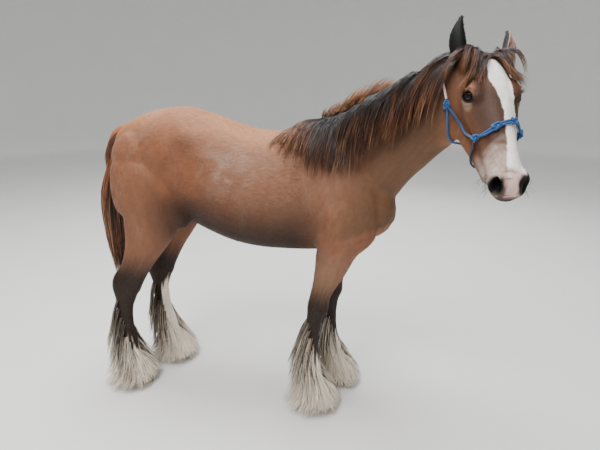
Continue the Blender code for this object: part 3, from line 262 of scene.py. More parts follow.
# The halter's runs, as points along, above and right in the head's frame, with the points that are knots
NOSE_KNOT = ((0.315, -0.058, 0.068), (0.300, -0.058, -0.068))
EAR_KNOT = ((0.150, -0.100, 0.124), (0.150, -0.130, -0.092))
ROPES = {
    "halter_noseband": (
        [NOSE_KNOT[0], (0.321, -0.019, 0.052), (0.313, -0.003, 0.025), (0.303, 0.002, 0.000),
         (0.292, -0.003, -0.030), (0.284, -0.022, -0.058), NOSE_KNOT[1]], (0, 2, 4, 6)),
    "halter_chin": (
        [NOSE_KNOT[0], (0.325, -0.110, 0.060), (0.345, -0.150, 0.040), (0.350, -0.165, 0.0),
         (0.342, -0.150, -0.040), (0.315, -0.110, -0.060), NOSE_KNOT[1]], (3,)),
    "halter_crown": (
        [(0.226, -0.250, 0.015), (0.222, -0.235, 0.055), (0.217, -0.195, 0.100), (0.199, -0.148, 0.115),
         EAR_KNOT[0], (0.075, -0.085, 0.125), (0.010, -0.090, 0.115), (-0.050, -0.060, 0.065),
         (-0.055, -0.040, 0.0), (-0.045, -0.085, -0.045), (0.010, -0.110, -0.080),
         (0.080, -0.115, -0.094), EAR_KNOT[1], (0.195, -0.165, -0.090), (0.215, -0.215, -0.070),
         (0.226, -0.250, -0.015)], (4, 12)),
    "halter_cheek_right": ([EAR_KNOT[0], (0.190, -0.112, 0.099), (0.249, -0.122, 0.078), NOSE_KNOT[0]], ()),
    "halter_cheek_left": ([EAR_KNOT[1], (0.199, -0.128, -0.090), (0.249, -0.110, -0.078), NOSE_KNOT[1]], ()),
}
ROPE_STEPS = 8          # between two of those points
ROPE_ROUNDS = 14        # of easing a rope and pushing it clear of the hide
ROPE_SIDES = 14
ROPE_STRIDE = 0.003     # between two rings of a swept rope
KNOT_SIZE = 0.0040
KNOT_POINTS = 73
KNOT_LIFT = 0.003


def catmull_rom(rows, steps):
    """Rows of numbers joined by a smooth curve through each, with this many steps between two rows."""
    rows = np.array(rows, float)
    padded = np.vstack([2 * rows[0] - rows[1], rows, 2 * rows[-1] - rows[-2]])
    found = []
    for i in range(len(rows) - 1):
        a, b, c, d = padded[i : i + 4]
        for t in np.arange(steps) / steps:
            square = (2 * a - 5 * b + 4 * c - d) * t**2
            cube = (3 * b - a - 3 * c + d) * t**3
            found.append(0.5 * (2 * b + (c - a) * t + square + cube))
    return np.array(found + [rows[-1]])


def unit(vector):
    return vector / max(np.linalg.norm(vector), 1e-12)


class Flesh:
    """Closed shells that pile up in one mesh until the grid fuses them."""

    def __init__(self):
        self.mesh = bmesh.new()

    def loft(self, rings):
        """A closed shell through rings of equal count, with a flat end at each side."""
        rows = [[self.mesh.verts.new(p) for p in ring] for ring in rings]
        count = len(rows[0])
        for low, high in zip(rows, rows[1:]):
            for i in range(count):
                j = (i + 1) % count
                self.mesh.faces.new((low[i], low[j], high[j], high[i]))
        self.mesh.faces.new(rows[0][::-1])
        self.mesh.faces.new(rows[-1])

    def ball(self, centre, radii, turn=None, sides=24):
        """An ellipsoid with its three radii along the axes of the turn matrix."""
        turn = turn or Matrix.Identity(3)
        scale = Matrix.Diagonal(Vector((*radii, 1)))
        place = Matrix.Translation(centre) @ turn.to_4x4() @ scale
        bmesh.ops.create_uvsphere(
            self.mesh, u_segments=sides, v_segments=sides // 2, radius=1.0, matrix=place)

    def object(self, name, collection=None):
        bmesh.ops.recalc_face_normals(self.mesh, faces=self.mesh.faces)
        data = bpy.data.meshes.new(name)
        self.mesh.to_mesh(data)
        self.mesh.free()
        return add_object(name, data, collection)


def add_object(name, data, collection=None):
    made = bpy.data.objects.new(name, data)
    (HORSE if collection is None else collection).objects.link(made)
    return made


def lofted(name, rings, collection=None):
    form = Flesh()
    form.loft(rings)
    return form.object(name, collection)


def lengths(vectors):
    return np.linalg.norm(vectors, axis=-1)


def units(vectors):
    return vectors / np.maximum(lengths(vectors), 1e-9)[..., None]


def ring_angles(sides):
    return np.arange(sides) * 2 * math.pi / sides


def oval(centre, across, up, egg=0.0, square=1.0, sides=40):
    """A ring of points. egg above 0 narrows its top, and square under 1 makes it boxier."""
    angle = ring_angles(sides)
    c = np.sign(np.cos(angle)) * np.abs(np.cos(angle)) ** square
    s = np.sign(np.sin(angle)) * np.abs(np.sin(angle)) ** square
    return centre + np.outer(c * (1 - egg * s), across) + np.outer(s, up)


def two_part_ring(low, high, widest, half_width, place, square=0.9, roof=0.0, sides=48):
    """A ring that is widest at a given height. roof narrows its top."""
    angle = ring_angles(sides)
    across = half_width * np.sign(np.cos(angle)) * np.abs(np.cos(angle)) ** square
    across *= 1 - roof * np.clip(np.sin(angle), 0, 1)
    rise = np.where(np.sin(angle) > 0, high - widest, widest - low) * np.sin(angle)
    return [place(a, widest + r) for a, r in zip(across, rise)]


def trunk_rings():
    rings = []
    for x, top, bottom, half, widest in catmull_rom(TRUNK, 8):
        rings.append(two_part_ring(bottom, top, widest, half, lambda a, h: (x, a, h)))
    return rings


def neck_frames():
    """For each section of the neck: its middle, its half height as a vector, and its half width."""
    rows = catmull_rom(NECK, 4)
    middles = (rows[:, 0:3] + rows[:, 3:6]) / 2
    tangents = np.gradient(middles, axis=0)
    frames = []
    for row, middle, tangent in zip(rows, middles, tangents):
        up = (row[0:3] - row[3:6]) / 2
        across = unit(np.cross(up, tangent)) * row[6]
        frames.append((middle, up, across))
    return frames


def neck_middles():
    return np.array([middle for middle, _, _ in neck_frames()])


def neck_rings():
    return [oval(middle, across, up, egg=0.28) for middle, up, across in neck_frames()]


def leg_rows(corner, steps):
    """Sections down one leg, mirrored to its side and with its foot set forward."""
    side = -1 if corner.endswith("right") else 1
    found = []
    for x, y, z, depth, width in FORE_LEG if corner.startswith("fore") else HIND_LEG:
        share = min(1.0, max(0.0, (LEG_TOP - z) / LEG_TOP))
        found.append((x + FOOT_SHIFT[corner] * share, side * y, z, depth, width))
    return catmull_rom(found, steps)


def limb_rings(middles, deep, wide, sides):
    """Rings across a line of points that runs up and down, with a half depth and half width for each."""
    rings = []
    for middle, tangent, depth, width in zip(middles, np.gradient(middles, axis=0), deep, wide):
        fore = unit(np.cross((0, 1, 0), unit(tangent)))
        rings.append(oval(middle, np.array((0, width, 0)), fore * depth, sides=sides))
    return rings


def head_axes():
    """Unit vectors along the face, up from it, and to the horse's right."""
    yaw, pitch = math.radians(HEAD_YAW), math.radians(HEAD_PITCH)
    ahead = np.array((math.sin(yaw), -math.cos(yaw), 0))
    along = math.sin(pitch) * ahead + np.array((0, 0, -math.cos(pitch)))
    above = math.cos(pitch) * ahead + np.array((0, 0, math.sin(pitch)))
    return along, above, np.cross(along, above)


def on_head(along, above, right=0.0):
    """A point of the head's own frame, in the drawing's frame."""
    a, b, c = head_axes()
    return np.array(POLL) + HEAD_SCALE * (along * a + above * b + right * c)


def head_matrix():
    return Matrix(head_axes()).transposed()


def head_masses(flesh):
    rings = []
    for u, top, bottom, half, widest in catmull_rom(SKULL, 4):
        rings.append(two_part_ring(
            bottom, top, widest, half, lambda w, v: on_head(u, v, w), square=0.75, roof=0.34))
    flesh.loft(rings)
    turn = head_matrix()
    for side in (-1, 1):
        flesh.ball(on_head(0.130, -0.140, side * 0.050), (0.104, 0.104, 0.040), turn)
        flesh.ball(on_head(0.200, -0.158, side * 0.042), (0.090, 0.064, 0.026), turn)
        flesh.ball(on_head(0.036, -0.028, 0.072 if side > 0 else -0.060), (0.042, 0.032, 0.024), turn)
        flesh.ball(on_head(0.160, -0.014, side * 0.056), (0.048, 0.022, 0.024), turn)
        flesh.ball(eye_frame(side)[0], [EYE_RADIUS + LID + 0.002] * 3)
        jaw = [(0.15, -0.165, 0.048, 0.068, 0.034), (0.25, -0.150, 0.040, 0.056, 0.032),
               (0.34, -0.126, 0.032, 0.044, 0.027), (0.44, -0.104, 0.024, 0.032, 0.025)]
        _, b, c = head_axes()
        flesh.loft([
            oval(on_head(u, v, side * w), c * wide, b * deep, sides=16)
            for u, v, w, deep, wide in catmull_rom(jaw, 4)
        ])
        flesh.ball(on_head(0.470, -0.050, side * 0.034), (0.036, 0.032, 0.026), turn)
    flesh.ball(on_head(0.468, -0.112, 0), (0.034, 0.020, 0.030), turn)
    flesh.ball(on_head(0.440, -0.118, 0), (0.026, 0.018, 0.024), turn)
    flesh.ball(on_head(0.492, -0.080, 0), (0.034, 0.034, 0.040), turn)


def fused_flesh():
    """Every mass of flesh fused into one closed surface."""
    flesh = Flesh()
    flesh.loft(trunk_rings())
    flesh.loft(neck_rings())
    for corner in FOOT_SHIFT:
        rows = leg_rows(corner, 4)
        flesh.loft(limb_rings(rows[:, :3], rows[:, 3], rows[:, 4], 32))
    for side in (-1, 1):
        flesh.ball((0.085, side * 0.090, 1.130), (0.145, 0.085, 0.135))
        flesh.ball((1.120, side * 0.080, 0.970), (0.080, 0.068, 0.110))
        flesh.ball((0.260, side * 0.130, 0.950), (0.085, 0.050, 0.115))
    flesh.ball((0.905, 0, 1.255), (0.120, 0.060, 0.062))
    head_masses(flesh)
    body = flesh.object("flesh")
    remesh = body.modifiers.new("fuse", "REMESH")
    remesh.mode = "VOXEL"
    remesh.voxel_size = VOXEL
    apply_modifiers(body)
    return body


def apply_modifiers(obj):
    graph = bpy.context.evaluated_depsgraph_get()
    data = bpy.data.meshes.new_from_object(obj.evaluated_get(graph))
    old = obj.data
    obj.modifiers.clear()
    obj.data = data
    bpy.data.meshes.remove(old)


def move_points(mesh, co):
    mesh.vertices.foreach_set("co", co.ravel())
    mesh.update()


def coordinates(mesh):
    co = np.empty(len(mesh.vertices) * 3)
    mesh.vertices.foreach_get("co", co)
    return co.reshape(-1, 3)


def normals(mesh):
    no = np.empty(len(mesh.vertices) * 3)
    mesh.vertices.foreach_get("normal", no)
    return no.reshape(-1, 3)


def relax(obj, rounds, weight=None):
    """Smooths creases without shrinking: each round moves in and then back out again."""
    mesh = obj.data
    co = coordinates(mesh)
    ends = np.empty(len(mesh.edges) * 2, np.int32)
    mesh.edges.foreach_get("vertices", ends)
    a, b = ends.reshape(-1, 2).T
    degree = np.bincount(a, minlength=len(co)) + np.bincount(b, minlength=len(co))
    weight = np.ones(len(co)) if weight is None else weight
    for amount in (RELAX_IN, RELAX_OUT) * rounds:
        total = np.stack([
            np.bincount(a, co[b, k], len(co)) + np.bincount(b, co[a, k], len(co)) for k in range(3)
        ], axis=1)
        co += amount * weight[:, None] * (total / degree[:, None] - co)
    move_points(mesh, co)


def reach(co, points):
    """Distance from each vertex to a line through the points."""
    points = np.array(points, float)
    if len(points) == 1:
        return lengths(co - points[0])
    found = np.full(len(co), 1e9)
    for p, q in zip(points, points[1:]):
        d = q - p
        t = np.clip(((co - p) @ d) / (d @ d), 0, 1)
        found = np.minimum(found, lengths(co - p - t[:, None] * d))
    return found


def stroke(obj, points, radius, height):
    """Raises the surface along a line by height, or sinks it where height is under 0."""
    mesh = obj.data
    co, no = coordinates(mesh), normals(mesh)
    near = np.clip(1 - (reach(co, points) / radius) ** 2, 0, 1) ** 2
    move_points(mesh, co + no * (near * height)[:, None])


def trunk_share(obj):
    """1 on the trunk and legs, falling to 0 on the head."""
    away = lengths(coordinates(obj.data) - on_head(0.26, -0.08))
    return np.clip((away - 0.30) / 0.10, 0, 1)


def thin(obj, inside, target):
    """Decimates the vertices that are inside a region to a number of triangles, and leaves the rest."""
    group = obj.vertex_groups.new(name="region")
    group.add([int(i) for i in np.flatnonzero(inside)], 1.0, "REPLACE")
    total = kept = 0
    for face in obj.data.polygons:
        size = len(face.vertices) - 2
        total += size
        if not all(inside[v] for v in face.vertices):
            kept += size
    step = obj.modifiers.new("thin", "DECIMATE")
    step.vertex_group = group.name
    step.vertex_group_factor = 10.0
    step.ratio = (kept + target) / total
    apply_modifiers(obj)
    obj.vertex_groups.clear()


def on_flank(side, x, y, z):
    return x, side * y, z


def on_side(side, along, above, right):
    return on_head(along, above, side * right)


def by_eye(side, x, y, lift):
    """A place round an eye: x along its opening, y over it and lift out of it, in radii of the eye."""
    middle, along, over, out = eye_frame(side)
    return middle + EYE_RADIUS * (along * x + over * y + out * lift)


def carve(obj, place, strokes):
    """Makes the same strokes on both sides: points, which place puts on a side, with a reach and a height."""
    for side in (-1, 1):
        for points, radius, height in strokes:
            stroke(obj, [place(side, *point) for point in points], radius, height)


def sculpt_body(obj):
    """Shoulders, elbows, flanks, hips and breast, then the furrows between breast and between buttocks."""
    carve(obj, on_flank, [
        ([(0.86, 0.10, 1.20), (1.00, 0.15, 1.05), (1.10, 0.15, 0.97)], 0.05, 0.006),
        ([(0.84, 0.16, 1.12), (0.87, 0.19, 0.98), (0.90, 0.17, 0.86)], 0.05, -0.010),
        ([(0.38, 0.20, 1.10), (0.34, 0.20, 0.98)], 0.08, -0.014),
        ([(0.36, 0.16, 1.235)], 0.09, 0.012),
        ([(1.20, 0.045, 0.93), (1.16, 0.05, 0.84)], 0.05, 0.006),
    ])
    stroke(obj, [(1.20, 0, 0.98), (1.16, 0, 0.84)], 0.035, -0.012)
    stroke(obj, [(-0.12, 0, 1.16), (-0.06, 0, 0.98), (0.02, 0, 0.86)], 0.04, -0.016)


def sculpt_head(obj):
    """Cheek bones, the hollows over the eyes and the sides of the nose, then brows and bags."""
    carve(obj, on_side, [
        ([(0.215, -0.078, 0.080), (0.320, -0.080, 0.055)], 0.020, 0.004),
        ([(0.100, -0.010, 0.070)], 0.026, -0.006),
        ([(0.330, -0.045, 0.052), (0.410, -0.050, 0.048)], 0.026, -0.004),
    ])
    carve(obj, by_eye, [
        ([(-0.8, 0.9, 0.6), (0.1, 1.35, 0.6), (0.9, 0.9, 0.6)], 0.014, 0.003),
        ([(-0.6, -1.3, 0.5), (0.2, -1.5, 0.5), (0.9, -1.2, 0.5)], 0.010, -0.002),
    ])


def cut_out(obj, tools):
    """Cuts from obj all the objects of the collection tools, which then go."""
    step = obj.modifiers.new("cut_out", "BOOLEAN")
    step.operation = "DIFFERENCE"
    step.operand_type = "COLLECTION"
    step.collection = tools
    step.solver = "EXACT"
    apply_modifiers(obj)
    for tool in list(tools.objects):
        bpy.data.objects.remove(tool)
    bpy.data.collections.remove(tools)


def new_collection(name):
    made = bpy.data.collections.new(name)
    bpy.context.scene.collection.children.link(made)
    return made


def leg_point(corner, height):
    """Where the middle of a leg is at a given height."""
    rows = leg_rows(corner, 8)
    nearest = rows[np.argmin(np.abs(rows[:, 2] - height))]
    return Vector((nearest[0], nearest[1], height))


def eye_frame(side):
    """The eye's middle, and unit vectors along its opening, over its opening, and out of it."""
    a, b, c = head_axes()
    middle = on_head(EYE_PLACE[0], EYE_PLACE[1], side * EYE_PLACE[2])
    out = unit(EYE_LOOK[0] * a + EYE_LOOK[1] * b + side * EYE_LOOK[2] * c)
    along = EYE_SLANT[0] * a + EYE_SLANT[1] * b
    along = unit(along - out * (along @ out))
    return middle, along, np.cross(out, along) * side, out


def signed_distance(place):
    """How far a point lies outside the hide, and the way out of it."""
    spot, normal, _, _ = HIDE_TREE.find_nearest(place)
    away = place - spot
    if away.dot(normal) < -0.5 * away.length:
        return -away.length, normal
    return away.length, away.normalized() if away.length > 1e-6 else normal


def held_off(place, lift):
    """The point, moved out of the hide until it is at least lift away from it."""
    for _ in range(3):
        distance, out = signed_distance(place)
        if distance < lift:
            place = place + out * (lift - distance)
    return place


def comb(root, heading, length, lift, steps, droop):
    """A lock's path over the hide: it starts at root, follows heading and droops under its own weight.

    Returns the points and the way its flat face looks at each.
    """
    stride = length / steps
    place, way = Vector(root), Vector(heading).normalized()
    points, faces = [], []
    for i in range(steps + 1):
        _, out = signed_distance(place)
        if i:
            place = held_off(place, lift * min(1.0, i / 2))
        points.append(place.copy())
        faces.append(out)
        way = (way + Vector((0, 0, -droop))).normalized()
        near = signed_distance(place)[0] < 3 * lift
        if near and way.dot(out) < 0:
            way = (way - out * way.dot(out)).normalized()
        place = place + way * stride
    return points, faces


def crest_points(count, first, last):
    """Places along the top of the neck, each with the way to the right and the way along the neck."""
    frames = neck_frames()
    found = []
    for t in np.linspace(first, last, count):
        low = min(int(t), len(frames) - 2)
        share = t - low
        middle, up, across = (a * (1 - share) + b * share for a, b in zip(frames[low], frames[low + 1]))
        onward = unit(frames[low + 1][0] - frames[low][0])
        right = unit(across) * (-1 if across[1] > 0 else 1)
        found.append((Vector(middle + up), Vector(right), Vector(onward)))
    return found


def clear_of_hide(laid):
    """Eases a rope's sharp bends and pushes it outwards until its straight stretches clear the hide."""
    for turn in range(ROPE_ROUNDS):
        if turn < ROPE_ROUNDS / 2:
            for before, place, after in zip(laid, laid[1:], laid[2:]):
                place.xyz = place.lerp((before + after) / 2, 0.2)
        for start, end in zip(laid, laid[1:]):
            for share in np.linspace(0, 1, 7):
                place = start.lerp(end, share)
                spot, normal, _, _ = WORN_TREE.find_nearest(place)
                lack = ROPE_RADIUS + ROPE_LIFT / 2 - (place - spot).dot(normal)
                if lack > 0:
                    start.xyz += normal * lack * (1 - share)
                    end.xyz += normal * lack * share


def tone(red, green, blue):
    """A colour as a screen shows it, 0 to 255, turned into the light it stands for."""
    share = np.array((red, green, blue)) / 255
    return np.where(share <= 0.04045, share / 12.92, ((share + 0.055) / 1.055) ** 2.4)


BAY = tone(136, 91, 67)
BAY_RED = tone(148, 92, 62)
BAY_GREY = tone(150, 110, 88)
PAINTED_CROUP_HIGHLIGHT = tone(196, 160, 142)
NECK_DARK = tone(64, 44, 30)
NECK_LOW = tone(112, 80, 57)
WORN_GREY = tone(158, 130, 114)
PAINTED_TOP_LIGHT = tone(164, 112, 76)
BELLY_SHADE = tone(44, 28, 20)
SHADE_AND_DARK_HAIR = tone(84, 56, 40)
DARK_LEG = tone(30, 22, 18)
FOREARM = tone(138, 104, 80)
CREAM = tone(250, 238, 220)
WHITE = tone(240, 234, 226)
PINK = tone(206, 160, 152)
MUZZLE_GREY = tone(172, 156, 146)
BLACK_SKIN = tone(26, 23, 22)
FACE = tone(106, 69, 47)
FACE_DARK = tone(66, 45, 36)
TAN = tone(168, 116, 82)
MANE_DARK = tone(30, 24, 25)
MANE_BROWN = tone(78, 50, 38)
MANE_RED = tone(132, 78, 50)
GOLD = tone(182, 134, 92)


def ease(low, high, value):
    """0 below low, 1 above high, and smooth between. It falls instead where low is above high."""
    share = np.clip((np.asarray(value, float) - low) / (high - low), 0, 1)
    return share * share * (3 - 2 * share)


def mixed(first, second, share):
    """Colours between first and second, by a share for each point."""
    share = np.asarray(share, float)[..., None]
    return first * (1 - share) + second * share


def ripple(co, scale, seed=0):
    """A smooth random value from 0 to 1 at each point, made of a few crossed waves."""
    dice = np.random.default_rng(SEED + seed)
    total = np.zeros(len(co))
    for octave in range(5):
        way = dice.normal(size=3)
        way *= scale * 1.7**octave * 2 * math.pi / np.linalg.norm(way)
        bend = dice.normal(size=3) * scale * 3
        phase = dice.uniform(0, 7)
        total += np.sin(co @ way + phase + 1.8 * np.sin(co @ bend + phase * 2)) / 1.3**octave
    return np.clip(0.5 + 0.20 * total, 0, 1)


def in_head(co):
    """Points of the drawing in the head's own frame: along, above and right."""
    way = (np.asarray(co) - POLL) / HEAD_SCALE
    return np.stack([way @ axis for axis in head_axes()], axis=-1)


def near_leg(co, corner):
    """How far points are from a leg's middle line, level by level, and the way there."""
    rows = leg_rows(corner, 4)
    rows = rows[np.argsort(rows[:, 2])]
    middle = np.stack([np.interp(co[:, 2], rows[:, 2], rows[:, k]) for k in (0, 1)], axis=1)
    return co[:, :2] - middle


def region_of(co):
    """0 trunk, 1 neck, 2 head, and 3 to 6 the legs, for each point."""
    found = np.zeros(len(co), int)
    middles = neck_middles()
    sizes = np.array([np.linalg.norm(section[1]) for section in neck_frames()])
    head = in_head(co)
    far = lengths(co[:, None] - middles[None]) / sizes[None]
    found[(far.min(1) < 1.15) & (co[:, 0] - 0.55 * (co[:, 2] - 1.0) > 0.86)] = 1
    on_face = (head[:, 0] > -0.03) & (np.abs(head[:, 2]) < 0.16) & (co[:, 2] > 1.0)
    found[on_face & (head[:, 1] > -0.19 - 0.05 * (head[:, 0] > 0.05))] = 2
    for number, corner in enumerate(FOOT_SHIFT):
        limit = 0.74 if corner.startswith("fore") else 0.86
        near = lengths(near_leg(co, corner)) < 0.17
        same_side = (co[:, 1] > 0) == corner.endswith("left")
        level = np.abs(co[:, 0] - leg_point(corner, 0.5).x) < 0.3
        found[(co[:, 2] < limit) & near & same_side & level] = 3 + number
    return found


def leg_colour(co, corner, found):
    """The dark points of a leg, and the white that climbs from its hoof."""
    z = co[:, 2]
    way = near_leg(co, corner)
    around = np.arctan2(way[:, 1], way[:, 0])
    behind = 0.5 - 0.5 * np.cos(around)
    streak = ripple(np.stack([np.cos(around), np.sin(around), z * 0.6], axis=1), 1.1, 31)
    fore = corner.startswith("fore")
    dark_from, dark_to = (0.66, 0.50) if fore else (0.74, 0.56)
    found = mixed(found, FOREARM if fore else BAY, ease(0.86, 0.70, z) * 0.5)
    found = mixed(found, DARK_LEG, ease(dark_from, dark_to, z + 0.05 * (streak - 0.5)) * 0.95)
    if corner == "hind_left":
        line = 0.46 - 0.26 * behind
    elif corner == "hind_right":
        line = 0.15 + 0.12 * behind
    else:
        line = 0.22 + 0.05 * behind
    rim = line + 0.16 * (streak - 0.5)
    return mixed(found, CREAM, ease(rim + 0.02, rim - 0.02, z))


def face_colour(head, found):
    """The head's markings, at points in the head's own frame."""
    u, v, w = head[:, 0], head[:, 1], head[:, 2]
    of_neck = found
    patch = ripple(head, 9, 5)
    speck = ripple(head, 55, 6)
    onto_head = np.maximum(ease(-0.21, -0.14, v), ease(0.08, 0.16, u))
    found = mixed(found, FACE, ease(-0.03, 0.08, u) * onto_head)
    found = mixed(found, FACE_DARK, ease(-0.09, -0.02, v) * ease(0.10, 0.20, u) * ease(0.42, 0.32, u) * 0.95)
    found = mixed(found, FACE_DARK, ease(0.06, 0.02, np.abs(u - 0.10)) * ease(-0.06, 0.0, v) * 0.4)
    found = mixed(found, TAN, ease(-0.11, -0.17, v) * ease(0.08, 0.18, u) * 0.40)
    found = mixed(found, TAN, ease(0.36, 0.42, u) * ease(0.0, -0.03, w) * 0.6)
    # The paler hair over and under each eye
    for side in (-1, 1):
        middle, _, over, out = eye_frame(side)
        spot = in_head(np.array([middle + over * 0.020 + out * 0.016, middle - over * 0.022 + out * 0.014]))
        for place, colour in zip(spot, (TAN, tone(150, 122, 104))):
            away = lengths((head - place) * (0.6, 1, 1))
            found = mixed(found, colour, ease(0.024, 0.010, away) * 0.6)
        way = (head - in_head(middle)) * HEAD_SCALE
        slant = EYE_SLANT[0] * way[:, 0] + EYE_SLANT[1] * way[:, 1]
        away = np.sqrt(np.maximum(np.sum(way * way, axis=1) - 0.40 * slant**2, 0))
        outer = ease(-0.006, 0.0, side * way[:, 2] / HEAD_SCALE)
        found = mixed(found, BLACK_SKIN, ease(EYE_RADIUS + 0.0060, EYE_RADIUS + 0.0030, away) * outer)
    # The near side of the muzzle is pale and mottled, the chin brown
    pale = ease(0.335, 0.42, u + 0.05 * (patch - 0.5)) * ease(-0.150, -0.105, v) * ease(-0.045, -0.010, w)
    found = mixed(found, MUZZLE_GREY, pale * (0.75 + 0.4 * (speck - 0.5)))
    found = mixed(found, tone(120, 84, 62), ease(0.42, 0.46, u) * ease(-0.095, -0.12, v) * 0.8)
    # The blaze, broad on the forehead, a strip down the nose, and broad again below
    stations = [0.050, 0.076, 0.135, 0.205, 0.255, 0.36, 0.43, 0.50]
    right = np.interp(u, stations, [0.010, 0.020, 0.025, 0.002, -0.007, 0.000, 0.012, 0.014])
    left = np.interp(u, stations, [-0.012, -0.030, -0.044, -0.050, -0.054, -0.052, -0.048, -0.042])
    edge = 0.004 * (ripple(head, 30, 7) - 0.5)
    blaze = ease(-0.0015, 0.0015, right - w + edge) * ease(-0.0015, 0.0015, w - left + edge)
    blaze *= ease(0.046, 0.056, u + edge) * ease(-0.085, -0.06, v)
    found = mixed(found, WHITE, blaze)
    # Pink skin between the nostrils with dark spots, and black round the nostrils and lips
    snip = ease(0.445, 0.475, u) * ease(0.036, 0.024, np.abs(w + 0.006)) * ease(-0.10, -0.075, v)
    found = mixed(found, PINK, snip * 0.75)
    found = mixed(found, tone(92, 70, 66), snip * ease(0.42, 0.62, ripple(head, 12, 8)) * 0.85)
    for side in (-1, 1):
        away = lengths((head - (0.492, -0.048, side * 0.040)) * (1.0, 0.80, 1.0))
        wide = 0.031 if side > 0 else 0.038
        found = mixed(found, BLACK_SKIN, ease(wide, wide - 0.010, away + 0.008 * (patch - 0.5)))
    under_nostril = ease(0.012, 0.004, np.abs(w - 0.026)) * ease(0.500, 0.512, u) * ease(-0.09, -0.07, v)
    found = mixed(found, BLACK_SKIN, under_nostril * 0.8)
    lips = ease(0.017, 0.007, np.abs(v + 0.087)) * ease(0.440, 0.470, u)
    found = mixed(found, BLACK_SKIN, lips * (0.75 + 0.25 * ease(0.03, -0.01, w)))
    rim = ease(0.007, 0.002, np.abs(v + 0.107)) * ease(0.465, 0.485, u)
    found = mixed(found, TAN, rim * 0.8)
    return mixed(of_neck, found, np.maximum(ease(0.155, 0.095, np.abs(w)), ease(0.22, 0.28, u)))


def coat_colour(co):
    """The colour of hide and coat at points of the drawing."""
    x, _, z = co.T
    rows = catmull_rom(TRUNK, 4)
    top, low = (np.interp(x, rows[:, 0], rows[:, k]) for k in (1, 2))
    share = (z - low) / np.maximum(top - low, 0.1)
    cloud = ripple(co, 2.2, 1)
    fine = ripple(co, 7.0, 2)
    found = mixed(BAY, BAY_GREY, 0.6 * ease(0.35, 0.75, cloud) * ease(1.0, 0.75, share))
    found = mixed(found, BAY_RED, 0.35 * ease(0.45, 0.85, fine))
    # Painted top light: lighter along the top of the trunk
    found = mixed(found, PAINTED_TOP_LIGHT, ease(0.80, 0.97, share))
    # Painted shade: darker low on the hindquarters
    found = mixed(found, SHADE_AND_DARK_HAIR, 0.14 * ease(1.14, 0.92, z) * ease(0.42, 0.20, x))
    # Painted shade: dark low on the trunk, under the belly
    found = mixed(found, BELLY_SHADE, ease(0.64, 0.10, share) * ease(1.00, 0.78, x) * ease(0.10, 0.32, x) * 0.97)
    # A painted highlight on the top of the croup
    sheen = lengths((co - (0.20, 0, 1.36)) * (1, 0.8, 1))
    found = mixed(found, PAINTED_CROUP_HIGHLIGHT, ease(0.20, 0.03, sheen) * 0.20)
    # A reddish shoulder and flank, a worn grey patch over the ribs, and a dark sweep along the haunch, partly
    # darker hair and partly painted shade under the hip
    found = mixed(found, BAY_RED, 0.5 * ease(0.16, 0.05, np.abs(x - 0.30)) * ease(0.95, 1.05, z))
    worn = ease(0.17, 0.05, np.hypot(x - 0.53, (z - 1.12) * 1.4))
    found = mixed(found, WORN_GREY, worn * ease(0.40, 0.75, fine) * 0.7)
    # The sweep is partly darker hair and partly painted shade under the hip
    sweep = reach(np.abs(co) * (1, -1, 1), [(0.34, -0.2, 1.225), (0.24, -0.2, 1.16), (0.16, -0.2, 1.05)])
    found = mixed(found, SHADE_AND_DARK_HAIR, ease(0.075, 0.02, sweep) * 0.5 * ease(0.2, 0.7, cloud))
    spot = lengths(co - (0.300, -0.200, 1.055))
    found = mixed(found, CREAM, ease(0.012, 0.007, spot))
    region = region_of(co)
    front = (region == 1) | (region == 2)
    crest = np.array([section[0] + section[1] for section in neck_frames()])
    under = reach(co[front], crest[::4])
    darker = mixed(NECK_DARK, NECK_LOW, ease(0.10, 0.32, under))
    found[front] = mixed(found[front], darker, ease(0.92, 1.10, x[front] - 0.3 * (z[front] - 1.0)))
    face = region == 2
    found[face] = face_colour(in_head(co[face]), found[face])
    for number, corner in enumerate(FOOT_SHIFT):
        here = region == 3 + number
        found[here] = leg_colour(co[here], corner, found[here])
    return found * (0.90 + 0.20 * ripple(co, 30, 3))[:, None]


def lie_of(co):
    """The way the short coat lies at points of the drawing."""
    region = region_of(co)
    x, _, z = co.T
    found = np.stack([-np.ones(len(co)), np.zeros(len(co)), -0.25 - 1.6 * ease(0.30, 0.05, x)], axis=1)
    found[:, 2] -= ease(0.98, 0.80, z) * 1.2
    a, b, _ = head_axes()
    neck = (region == 1) | (region == 2)
    middles = neck_middles()
    nearest = lengths(co[neck][:, None] - middles[None]).argmin(1)
    onward = np.gradient(middles, axis=0)
    onward /= lengths(onward)[:, None]
    found[neck] = -onward[nearest] + (0, 0, -0.55)
    face = region == 2
    head = in_head(co[face])
    along = a + np.outer(ease(-0.03, -0.12, head[:, 1]), -0.5 * b - 0.4 * a)
    found[face] = mixed(found[face], along, ease(0.155, 0.095, np.abs(head[:, 2])))
    found[region >= 3] = (0, 0, -1)
    return found / lengths(found)[:, None]


class Wire:
    """A number that a shader works out, which takes part in sums as a plain number does."""

    def __init__(self, look, socket):
        self.look = look
        self.socket = socket

    def _with(self, operation, *values):
        return self.look.number(operation, *values)

    def __add__(self, other):
        return self._with("ADD", self, other)

    def __sub__(self, other):
        return self._with("SUBTRACT", self, other)

    def __mul__(self, other):
        return self._with("MULTIPLY", self, other)

    def __truediv__(self, other):
        return self._with("DIVIDE", self, other)

    def __rsub__(self, other):
        return self._with("SUBTRACT", other, self)

    __radd__ = __add__
    __rmul__ = __mul__


